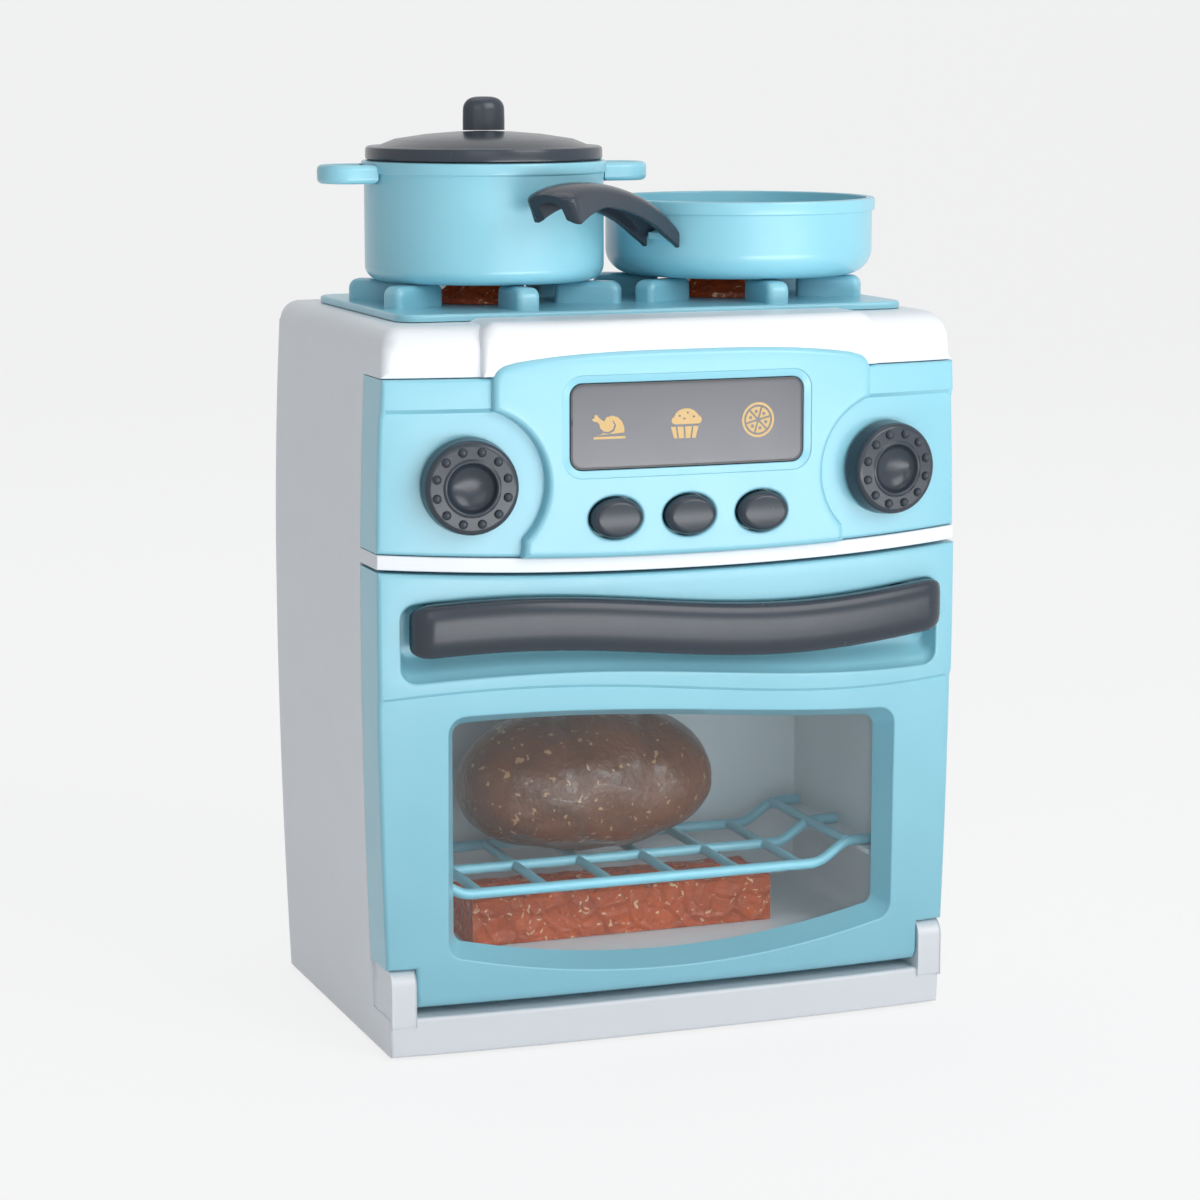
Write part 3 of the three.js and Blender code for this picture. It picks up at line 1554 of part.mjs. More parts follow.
// Pan: a turned body with a banded rim and a lug that the handle slides over
const panSocket = panHeight - panHandleSocket;

function onPan(solid) {
  const turn = THREE.MathUtils.radToDeg(panHandleTurn);
  return solid.rotate([0, 0, turn]).translate([panX, 0, panSeat]);
}

function panBody() {
  const inner = panRadius - panWall;
  const panFlat = panRadius - panFootCorner;
  const profile = [
    new THREE.Vector2(0, 0),
    new THREE.Vector2(panFlat, 0),
    ...arc(panFlat, panFootCorner, panFootCorner, -quarterTurn, 0, 5).slice(1),
    new THREE.Vector2(panRadius, panHeight - panBand),
    new THREE.Vector2(panRadius + panBandRaise, panHeight - panBand),
    new THREE.Vector2(panRadius + panBandRaise, panHeight),
    new THREE.Vector2(inner, panHeight),
    new THREE.Vector2(inner, panFootCorner),
    ...arc(panFlat, panFootCorner, panFootCorner - panWall, 0, -quarterTurn, 4).slice(1),
    new THREE.Vector2(0, panWall),
  ];
  const body = toSolid(turned(profile, 36));
  const half = panHandleWidth / 2 - panHandleWall - clearance;
  const lug = box(
    panRadius - panWall / 2,
    panRadius + panHandleDepth,
    -half,
    half,
    panSocket - panHandleDepth * 0.85,
    panSocket - panHandleDepth * 0.5,
  );
  return onPan(body.add(lug));
}

// Pan handle: an arched bar with a rounded back, hollow and open underneath
function panHandle() {
  const start = panRadius + panBandRaise + clearance;
  const rise = panHeight + panHandleArch;
  const path = new THREE.CubicBezierCurve(
    new THREE.Vector2(start, panSocket),
    new THREE.Vector2(start + panHandleArch, rise + panHandleArch / 2),
    new THREE.Vector2(panHandleReach - panHandleWidth, rise + panHandleArch / 2),
    new THREE.Vector2(panHandleReach, panHeight + panHandleDroop),
  );
  const half = panHandleWidth / 2;
  const crown = (width, top, low, steps) => [
    new THREE.Vector2(-width, low),
    new THREE.Vector2(width, low),
    ...spread(0, Math.PI, steps).map(
      (a) => new THREE.Vector2(width * Math.cos(a), top - half * 0.5 * (1 - Math.sin(a))),
    ),
  ];
  const sweep = (width, top, low, from, to) =>
    loft(
      spread(from, to, 10).map((t) => {
        const p = path.getPoint(t);
        const along = path.getTangent(t);
        const end = Math.min(1, Math.max(0, (1 - t) * 8));
        const slim = (0.72 + 0.28 * Math.sqrt(end * (2 - end))) * (0.86 + 0.14 * Math.min(1, t * 3));
        return crown(width * slim, top, low, 6).map(
          (q) => new THREE.Vector3(p.x - along.y * q.y, q.x, p.y + along.x * q.y),
        );
      }),
    );
  const outer = sweep(half, 0, -panHandleDepth, 0, 1);
  const inner = sweep(half - panHandleWall, -panHandleWall, -panHandleDepth - overrun, -0.03, 0.95);
  return onPan(outer.subtract(inner));
}

// Fried egg: a lobed white with the yolk on it
const eggSeat = panSeat + panWall + clearance;

function eggWhite() {
  const loop = (size, rise) =>
    spread(0, fullTurn, 30)
      .slice(0, -1)
      .map((a) => {
        const lobes = eggLobe * (Math.sin(3 * a + 0.5) + 0.5 * Math.sin(5 * a + 2));
        const radius = (eggRadius + lobes) * size;
        return new THREE.Vector3(panX + radius * Math.cos(a), radius * Math.sin(a), eggSeat + rise);
      });
  return loft([
    loop(0.97, 0),
    loop(1, eggThickness * 0.4),
    loop(0.93, eggThickness * 0.85),
    loop(0.7, eggThickness),
  ]);
}

function eggYolk() {
  const low = eggSeat + eggThickness + clearance;
  const profile = [
    new THREE.Vector2(0, 0),
    new THREE.Vector2(yolkRadius * 0.96, 0),
    ...arc(0, 0, 1, 0, quarterTurn, 5).map(
      (p) => new THREE.Vector2(Math.max(0, yolkRadius * p.x), yolkHeight * (0.2 + 0.8 * p.y)),
    ),
  ];
  profile[profile.length - 1].x = 0;
  return toSolid(turned(profile, 18)).translate([panX + eggLobe, -eggLobe, low]);
}

// Roast: a creased oval, flat where it lies on the rack
function roastJoint() {
  const steps = 20;
  const seat = rackLevel + rackWire / 2 + clearance;
  const halfHigh = (roastHeight + roastSunk) / 2;
  const loops = spread(0, Math.PI, 15)
    .slice(1, -1)
    .map((polar) => {
      const along = -Math.cos(polar);
      const girth = Math.sin(polar) ** 0.8;
      const taper = 1 - 0.16 * along;
      const crease = (place) => roastCrease * Math.exp(-(((along - place) / 0.09) ** 2));
      return spread(0, fullTurn, steps)
        .slice(0, -1)
        .map((turn) => {
          const fold = (crease(-0.25) + crease(0.38)) * Math.max(0, Math.sin(turn)) * girth;
          return new THREE.Vector3(
            roastX + roastHalfLength * along,
            roastY + (roastHalfWidth * taper * girth - fold) * Math.cos(turn),
            seat - roastSunk + halfHigh + (halfHigh * taper * girth - fold) * Math.sin(turn),
          );
        });
    });
  return loft(loops).intersect(across(-bodyDepth, bodyDepth, seat, topLevel));
}

addPiece("cabinet_shell", cabinetShell(), "white");
addPiece("control_panel", controlPanel(), "teal");
addPiece("display_window", displayWindow(), "smoke");
addPiece("dial_left", dial(-1), "charcoal");
addPiece("dial_right", dial(1), "charcoal");
addPiece("dial_screw_left", dialScrew(-1), "steel");
addPiece("dial_screw_right", dialScrew(1), "steel");
buttonPlaces.forEach((x, i) => addPiece("button_" + (i + 1), pushButton(x), "charcoal"));
addPiece("circuit_board", circuitBoard(), "board");
buttonPlaces.forEach((x, i) => addPiece("switch_" + (i + 1), tactSwitch(x), "black"));
ledPlaces.forEach((x, i) => addPiece("display_lamp_" + (i + 1), displayLamp(x), "lamp"));

addPiece("door_shell", doorShell(), "teal");
addPiece("door_window", doorWindow(), "clear");
addPiece("door_handle", doorHandle(), "charcoal");
screwPlaces.forEach((p) => {
  addPiece(p.side < 0 ? "handle_screw_left" : "handle_screw_right", handleScrew(p), "steel");
});
addPiece("hinge_pin_left", hingePin(-1), "steel");
addPiece("hinge_pin_right", hingePin(1), "steel");
addPiece("oven_liner", ovenLiner(), "liner");
addPiece("oven_rack", ovenRack(), "teal");
addPiece("ember_block", emberBlock(), "flame");
addPiece("ember_lamp", emberLamp(), "lamp");
addPiece("hob_tray", hobTray(), "teal");
burnerPlaces.forEach((x) => {
  addPiece(x < 0 ? "burner_left" : "burner_right", burnerCrown(x), "flame");
  addPiece(x < 0 ? "burner_lamp_left" : "burner_lamp_right", burnerLamp(x), "lamp");
});

addPiece("back_cover", backCover(), "white");
bossPlaces.forEach(([x, z], i) => addPiece("back_screw_" + (i + 1), backScrew(x, z), "steel"));
addPiece("battery_box", batteryBox(), "white");
for (let i = 0; i < batteries; i++) addPiece("battery_" + (i + 1), batteryCell(i), "cell");
addPiece("battery_cover", batteryCover(), "white");
addPiece("battery_cover_screw", backScrew(0, coverScrewLevel), "steel");
addPiece("speaker", speaker(), "black");
addPiece("base_plate", basePlate(), "white");
footPlaces.forEach(([x, y], i) => addPiece("foot_" + (i + 1), foot(x, y), "rubber"));
addPiece("pot_body", pot(), "teal");
addPiece("lid_shell", lidShell(), "charcoal");
addPiece("lid_knob", lidKnob(), "charcoal");
addPiece("pan_body", panBody(), "teal");
addPiece("pan_handle", panHandle(), "charcoal");
addPiece("egg_white", eggWhite(), "eggWhite");
addPiece("egg_yolk", eggYolk(), "yolk");
addPiece("roast", roastJoint(), "roast");

// The frame's origin is on the floor, under the middle of all that was made
const extent = new THREE.Box3().setFromObject(part);
const middle = extent.getCenter(new THREE.Vector3());
part.position.set(-middle.x, -middle.y, -extent.min.z);
const cooker = new THREE.Group();
cooker.add(part);

export default cooker;
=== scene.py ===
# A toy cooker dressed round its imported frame: cabinet, panel, door, hob, pots and play food.
# Lengths are millimetres in the cabinet's own frame, which faces -Y and has X 0 in its middle.
# Mould.piece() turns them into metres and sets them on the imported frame.
import math

import bmesh
import bpy
import numpy as np
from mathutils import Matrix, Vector, geometry


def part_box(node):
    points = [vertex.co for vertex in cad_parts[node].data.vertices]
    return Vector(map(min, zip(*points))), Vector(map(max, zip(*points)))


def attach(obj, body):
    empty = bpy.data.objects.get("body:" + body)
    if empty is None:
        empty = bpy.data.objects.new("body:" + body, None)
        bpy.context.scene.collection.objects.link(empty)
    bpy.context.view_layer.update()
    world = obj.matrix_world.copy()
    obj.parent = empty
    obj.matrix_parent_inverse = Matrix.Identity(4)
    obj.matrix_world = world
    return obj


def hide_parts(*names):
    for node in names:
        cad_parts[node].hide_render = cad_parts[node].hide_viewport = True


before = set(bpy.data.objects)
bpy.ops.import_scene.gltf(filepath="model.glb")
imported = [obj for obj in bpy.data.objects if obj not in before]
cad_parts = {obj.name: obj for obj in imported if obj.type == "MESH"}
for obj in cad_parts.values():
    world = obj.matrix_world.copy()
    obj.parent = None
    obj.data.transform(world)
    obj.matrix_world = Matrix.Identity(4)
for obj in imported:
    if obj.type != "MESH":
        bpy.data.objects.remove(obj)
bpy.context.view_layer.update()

MM = 0.001
CABINET_BACK = 65.0
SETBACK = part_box("back_cover")[1].y / MM - CABINET_BACK


# The photograph's camera. It stands to the left of the cooker and looks a little down on it.
CAMERA_PLACE = (-417.9, -1122.6 + SETBACK, 338.2)
CAMERA_DOWN, CAMERA_RIGHT = 9.3, 20.3
camera_data = bpy.data.cameras.new("photo_camera")
camera_data.lens = 101.7
camera_data.sensor_width = 36.0
camera = bpy.data.objects.new("photo_camera", camera_data)
camera.location = Vector(CAMERA_PLACE) * MM
camera.rotation_euler = (math.radians(90 - CAMERA_DOWN), 0, math.radians(-CAMERA_RIGHT))
bpy.context.scene.collection.objects.link(camera)
bpy.context.scene.camera = camera


# The studio, in metres: a pale sweep that runs up behind the cooker, three soft boxes, a lit card
# on the floor in front, and an even sky. The sweep and the sky look white to the camera and in
# gloss, and give no extra light.
WALL_FOOT, WALL_BEND, SWEEP_REACH = 2.2, 1.6, 6.0
SWEEP_GLOW = 0.8
SKY_LIGHT = 0.34
COOKER = (0, 0, 0.16)


def srgb(red, green, blue):
    """A colour written as in a paint program, 0 to 255, turned into scene light."""
    parts = np.array([red, green, blue]) / 255
    parts = np.where(parts <= 0.04045, parts / 12.92, ((parts + 0.055) / 1.055) ** 2.4)
    return (*map(float, parts), 1.0)


def new_material(name):
    material = bpy.data.materials.new(name)
    material.use_nodes = True
    nodes = material.node_tree.nodes
    return material, nodes, material.node_tree.links, nodes["Principled BSDF"]


def seen_directly(nodes, links):
    """One where a ray comes from the camera, a mirror or a glass surface, and zero elsewhere."""
    path = nodes.new("ShaderNodeLightPath")
    total = path.outputs["Is Camera Ray"]
    for kind in ("Is Glossy Ray", "Is Transmission Ray"):
        either = nodes.new("ShaderNodeMath")
        either.operation = "MAXIMUM"
        links.new(total, either.inputs[0])
        links.new(path.outputs[kind], either.inputs[1])
        total = either.outputs[0]
    return total


def mix_surface(nodes, links, share, first, second):
    """Makes a material's surface a mix of two shaders."""
    mix = nodes.new("ShaderNodeMixShader")
    links.new(share, mix.inputs["Fac"])
    links.new(first.outputs[0], mix.inputs[1])
    links.new(second.outputs[0], mix.inputs[2])
    links.new(mix.outputs[0], nodes["Material Output"].inputs["Surface"])


sweep_paper, nodes, links, shader = new_material("sweep_paper")
shader.inputs["Base Color"].default_value = srgb(236, 238, 240)
shader.inputs["Roughness"].default_value = 0.9
shader.inputs["Specular IOR Level"].default_value = 0.1
glow = nodes.new("ShaderNodeEmission")
glow.inputs["Color"].default_value = (1, 1, 1, 1)
share = nodes.new("ShaderNodeMath")
share.operation = "MULTIPLY"
share.inputs[1].default_value = SWEEP_GLOW
links.new(seen_directly(nodes, links), share.inputs[0])
mix_surface(nodes, links, share.outputs[0], shader, glow)

sweep_line = [(-SWEEP_REACH, 0.0), (WALL_FOOT, 0.0)]
for turn in np.linspace(0.1, math.pi / 2, 14):
    y = WALL_FOOT + WALL_BEND * math.sin(turn)
    sweep_line.append((y, WALL_BEND * (1 - math.cos(turn))))
sweep_line.append((WALL_FOOT + WALL_BEND, SWEEP_REACH))
sweep_points = [(x, y, z) for y, z in sweep_line for x in (-SWEEP_REACH, SWEEP_REACH)]
sweep_faces = [(i, i + 1, i + 3, i + 2) for i in range(0, len(sweep_points) - 2, 2)]
sweep_mesh = bpy.data.meshes.new("studio_sweep")
sweep_mesh.from_pydata(sweep_points, [], sweep_faces)
sweep_mesh.shade_smooth()
sweep_mesh.materials.append(sweep_paper)
sweep = bpy.data.objects.new("studio_sweep", sweep_mesh)
bpy.context.scene.collection.objects.link(sweep)

world = bpy.data.worlds.new("even_sky")
bpy.context.scene.world = world
world.use_nodes = True
nodes, links = world.node_tree.nodes, world.node_tree.links
sky = nodes["Background"]
sky.inputs["Color"].default_value = srgb(250, 252, 255)
level = nodes.new("ShaderNodeMapRange")
level.inputs["To Min"].default_value = SKY_LIGHT
links.new(seen_directly(nodes, links), level.inputs["Value"])
links.new(level.outputs["Result"], sky.inputs["Strength"])

for name, place, aimed_at, size, power in (
    ("key_box", (1.0, -2.0, 1.25), COOKER, 1.3, 23.0),
    ("fill_box", (-0.8, -2.1, 0.9), COOKER, 1.2, 5.5),
    ("top_box", (0.1, 0.1, 2.3), COOKER, 1.8, 11.0),
    ("floor_card", (0.35, -1.3, 0.01), (0.35, -1.3, 1.0), 1.2, 36.0),
):
    lamp = bpy.data.lights.new(name, "AREA")
    lamp.shape = "SQUARE"
    lamp.size = size
    lamp.energy = power
    holder = bpy.data.objects.new(name, lamp)
    holder.location = place
    aim = Vector(aimed_at) - Vector(place)
    holder.rotation_euler = aim.to_track_quat("-Z", "Y").to_euler()
    bpy.context.scene.collection.objects.link(holder)
bpy.context.scene.view_settings.view_transform = "Standard"


# Surface marks are node groups. Each takes a colour and gives back a colour, a roughness and a
# normal that change over the surface.
OUTPUTS = (("Colour", "Base Color"), ("Roughness", "Roughness"), ("Normal", "Normal"))
PLASTIC_MARKS = {"Blotch": 0.05, "Gloss": 0.34, "Gloss Range": 0.12, "Grain": 0.04}


class Marks:
    """A node group in the making, with short ways to add to it."""

    def __init__(self, name, floats):
        self.group = bpy.data.node_groups.new(name, "ShaderNodeTree")
        sockets = self.group.interface
        sockets.new_socket("Colour", in_out="INPUT", socket_type="NodeSocketColor")
        for label, value in floats.items():
            socket = sockets.new_socket(label, in_out="INPUT", socket_type="NodeSocketFloat")
            socket.default_value = value
        for label, kind in (("Colour", "Color"), ("Roughness", "Float"), ("Normal", "Vector")):
            sockets.new_socket(label, in_out="OUTPUT", socket_type=f"NodeSocket{kind}")
        self.where = self.group.nodes.new("ShaderNodeTexCoord")
        self.given = self.group.nodes.new("NodeGroupInput")
        self.made = self.group.nodes.new("NodeGroupOutput")

    def put(self, value, socket):
        """Links a value to a socket, or sets it there where it is a plain number."""
        if isinstance(value, (int, float)):
            socket.default_value = value
        else:
            self.group.links.new(value, socket)

    def give(self, value, label):
        self.put(value, self.made.inputs[label])

    def work(self, operation, first, second):
        node = self.group.nodes.new("ShaderNodeMath")
        node.operation = operation
        self.put(first, node.inputs[0])
        self.put(second, node.inputs[1])
        return node.outputs[0]

    def noise(self, scale, detail=3.0, distortion=0.0):
        texture = self.group.nodes.new("ShaderNodeTexNoise")
        self.put(self.where.outputs["Object"], texture.inputs["Vector"])
        for label, value in (("Scale", scale), ("Detail", detail), ("Distortion", distortion)):
            self.put(value, texture.inputs[label])
        return texture.outputs["Fac"]

    def mixed(self, base, colour, share):
        mix = self.group.nodes.new("ShaderNodeMix")
        mix.data_type = "RGBA"
        mix.inputs["B"].default_value = srgb(*colour)
        self.put(share, mix.inputs["Factor"])
        self.put(base, mix.inputs["A"])
        return mix.outputs["Result"]

    def mottle(self, dark, dark_noise, dark_share, pale, pale_noise, pale_share):
        """Gives back the given colour with soft dark patches and small pale flecks in it."""
        patch = self.work("MULTIPLY", self.noise(*dark_noise), dark_share)
        fleck = self.work("GREATER_THAN", self.noise(*pale_noise), 0.66)
        shaded = self.mixed(self.given.outputs["Colour"], dark, patch)
        fleck = self.work("MULTIPLY", fleck, pale_share)
        self.give(self.mixed(shaded, pale, fleck), "Colour")

    def roughen(self, least, scale, reach):
        varied = self.work("MULTIPLY", self.noise(scale), reach)
        self.give(self.work("ADD", least, varied), "Roughness")

    def bump(self, height, distance, strength):
        node = self.group.nodes.new("ShaderNodeBump")
        node.inputs["Distance"].default_value = distance
        self.put(strength, node.inputs["Strength"])
        self.put(height, node.inputs["Height"])
        self.give(node.outputs["Normal"], "Normal")


def marked(name, marks, colour, **values):
    """A material whose colour, roughness and normal come from a node group."""
    material, nodes, links, shader = new_material(name)
    node = nodes.new("ShaderNodeGroup")
    node.node_tree = marks.group
    node.inputs["Colour"].default_value = srgb(*colour)
    for label, value in values.items():
        node.inputs[label.replace("_", " ").title()].default_value = value
    for output, socket in OUTPUTS:
        links.new(node.outputs[output], shader.inputs[socket])
    return material, nodes, links, shader


# Moulding marks, shared by every plastic: soft blotches of colour where the melt met, a fine
# grain from the tool, and gloss that varies where the piece has been handled.
moulding_marks = Marks("moulding_marks", PLASTIC_MARKS)
given = moulding_marks.given.outputs
work = moulding_marks.work
swing = work("MULTIPLY", work("SUBTRACT", moulding_marks.noise(38), 0.5), given["Blotch"])
tint = moulding_marks.group.nodes.new("ShaderNodeHueSaturation")
moulding_marks.put(work("ADD", 1.0, work("MULTIPLY", swing, 2.0)), tint.inputs["Value"])
moulding_marks.put(work("SUBTRACT", 1.0, swing), tint.inputs["Saturation"])
moulding_marks.put(given["Colour"], tint.inputs["Color"])
moulding_marks.give(tint.outputs["Color"], "Colour")
smear = work("SUBTRACT", moulding_marks.noise(120, 5.0), 0.5)
smear = work("MULTIPLY", smear, given["Gloss Range"])
moulding_marks.give(work("ADD", given["Gloss"], smear), "Roughness")
moulding_marks.bump(moulding_marks.noise(1400, 2.0), 0.0004, given["Grain"])


def plastic(name, colour, coat=0.0, shine=0.5, **values):
    """A moulded plastic. The marks that it names no value for stay at their own."""
    material, nodes, links, shader = marked(name, moulding_marks, colour, **values)
    shader.inputs["Specular IOR Level"].default_value = shine
    shader.inputs["Coat Weight"].default_value = coat
    shader.inputs["Coat Roughness"].default_value = 0.16
    return material


teal = plastic("teal_moulding", (139, 202, 219), coat=0.3)
white = plastic("white_moulding", (232, 236, 240), gloss=0.36, blotch=0.02)
satin = {"shine": 0.35, "gloss": 0.26, "gloss_range": 0.08, "blotch": 0.03}
charcoal = plastic("charcoal_moulding", (46, 54, 64), coat=0.12, **satin)


# Outlines are loops of points in a plane, counted anticlockwise.
def smooth(share):
    share = np.clip(share, 0, 1)
    return share * share * (3 - 2 * share)


def unit(vectors):
    return vectors / np.maximum(1e-9, np.linalg.norm(vectors, axis=-1, keepdims=True))


def circle(steps):
    """Angles all the way round, without the last one, which is the first again."""
    return np.radians(np.linspace(0, 360, steps + 1)[:-1])


def quarter(steps):
    """The two shares of a quarter round: one falls from 1 to 0, the other rises from 0 to 1."""
    turns = np.radians(np.linspace(0, 90, steps))
    return [(1 - math.sin(turn), 1 - math.cos(turn)) for turn in turns]


def offset(loop, amount):
    """A loop moved inwards by one amount, or by an amount for each of its points."""
    before = unit(loop - np.roll(loop, 1, 0))
    after = unit(np.roll(loop, -1, 0) - loop)
    normal = unit(np.column_stack([-before[:, 1] - after[:, 1], before[:, 0] + after[:, 0]]))
    lean = np.maximum(0.5, normal[:, 1] * before[:, 0] - normal[:, 0] * before[:, 1])
    return loop + normal * (np.broadcast_to(amount, len(loop)) / lean)[:, None]


def arc(x, z, radius, start, end, steps):
    turn = np.radians(np.linspace(start, end, steps + 1))
    return np.column_stack([x + radius * np.cos(turn), z + radius * np.sin(turn)])


def ellipse(x, z, half_x, half_z, steps=64):
    turn = circle(steps)
    return np.column_stack([x + half_x * np.cos(turn), z + half_z * np.sin(turn)])


def spaced(loop, longest=4.0):
    """A loop whose long stretches have points put in between."""
    points = []
    for start, end in zip(loop, np.roll(loop, -1, 0)):
        pieces = max(1, int(np.ceil(np.linalg.norm(end - start) / longest)))
        points += [start + (end - start) * i / pieces for i in range(pieces)]
    return np.array(points)


def rounded_box(left, right, low, high, radius, steps=6, longest=4.0):
    corners = [
        arc(right - radius, high - radius, radius, 0, 90, steps),
        arc(left + radius, high - radius, radius, 90, 180, steps),
        arc(left + radius, low + radius, radius, 180, 270, steps),
        arc(right - radius, low + radius, radius, 270, 360, steps),
    ]
    return spaced(np.concatenate(corners), longest)


def mirrored(half):
    """A loop from its right half, which runs upwards."""
    return np.concatenate([half, (half * (-1, 1))[::-1]])


def mirrored_between(half):
    """A loop from its right half, whose first and last points are on the middle line."""
    return np.concatenate([half, (half * (-1, 1))[-2:0:-1]])


def level_lines(along, levels):
    """Rows of points for the fill to keep to, each at its own level."""
    return np.concatenate([np.column_stack([along, np.full(len(along), z)]) for z in levels])


def inside(points, loops):
    """True where a point lies in an outline and in none of its holes."""
    odd = np.zeros(len(points), bool)
    for loop in loops:
        for a, b in zip(loop, np.roll(loop, -1, 0)):
            if a[1] == b[1]:
                continue
            spans = (a[1] > points[:, 1]) != (b[1] > points[:, 1])
            crossing = a[0] + (points[:, 1] - a[1]) / (b[1] - a[1]) * (b[0] - a[0])
            odd ^= spans & (points[:, 0] < crossing)
    return odd


def triangulated(loops, step, lines=None):
    """An outline with holes, filled with even triangles that keep to some marked lines."""
    rim = np.concatenate(loops)
    edges = []
    start = 0
    for loop in loops:
        edges += [(start + i, start + (i + 1) % len(loop)) for i in range(len(loop))]
        start += len(loop)
    fixed = rim
    if lines is not None:
        keep = inside(lines, loops)
        keep &= np.linalg.norm(lines[:, None] - rim[None], axis=2).min(1) > 0.3
        fixed = np.concatenate([rim, lines[keep]])
    low, high = rim.min(0), rim.max(0)
    columns = np.arange(low[0], high[0] + step, step)
    rows = np.arange(low[1], high[1] + step, step * 0.866)
    grid = np.array([(x + (j % 2) * step / 2, z) for j, z in enumerate(rows) for x in columns])
    grid = grid[inside(grid, loops)]
    if len(grid):
        near = np.array([np.linalg.norm(fixed - p, axis=1).min() for p in grid])
        grid = grid[near > step * 0.5]
    points = np.concatenate([fixed, grid])
    made = geometry.delaunay_2d_cdt([Vector(p) for p in points], edges, [], 1, 1e-5)
    corners = np.array([tuple(v) for v in made[0]])
    faces = np.array([f for f in made[2] if len(f) == 3])
    faces = faces[inside(corners[faces].mean(1), loops)]
    return corners, faces


# Ways to set the points of an outline in space: on a curved face, at one depth or in plan.
def sheet(face, depth=0.0):
    return lambda x, z: np.column_stack([x, face(x, z) + depth, z])


def flat(depth):
    return lambda x, z: np.full(np.shape(x), float(depth))


def plan(height):
    return lambda x, y: np.column_stack([x, y, np.full(np.shape(x), float(height))])


def polar(radius, turns, height):
    spread = (radius * np.cos(turns), radius * np.sin(turns), height + 0 * turns)
    return np.column_stack(spread)


def on_face(loop, face, depth=0.0):
    return sheet(face, depth)(*loop.T)


def at_depth(loop, depth):
    return np.column_stack([loop[:, 0], np.broadcast_to(depth, len(loop)), loop[:, 1]])


def rounded_edge(outline_at, face, steps, inset, deep=None):
    """Loops round a rolled edge. The outline comes from a function of how far it moves in."""
    deep = inset if deep is None else deep
    return [
        on_face(outline_at(inset * falls), face, deep * rises) for falls, rises in quarter(steps)
    ]


TO_FRONT = ((1, 0, 0), (0, 0, -1), (0, 1, 0))
TO_BACK = ((-1, 0, 0), (0, 0, 1), (0, 1, 0))
AS_IS = ((1, 0, 0), (0, 1, 0), (0, 0, 1))


def about_upright(turn):
    """The rows that turn a piece about the upright axis."""
    return (math.cos(turn), -math.sin(turn), 0), (math.sin(turn), math.cos(turn), 0), (0, 0, 1)


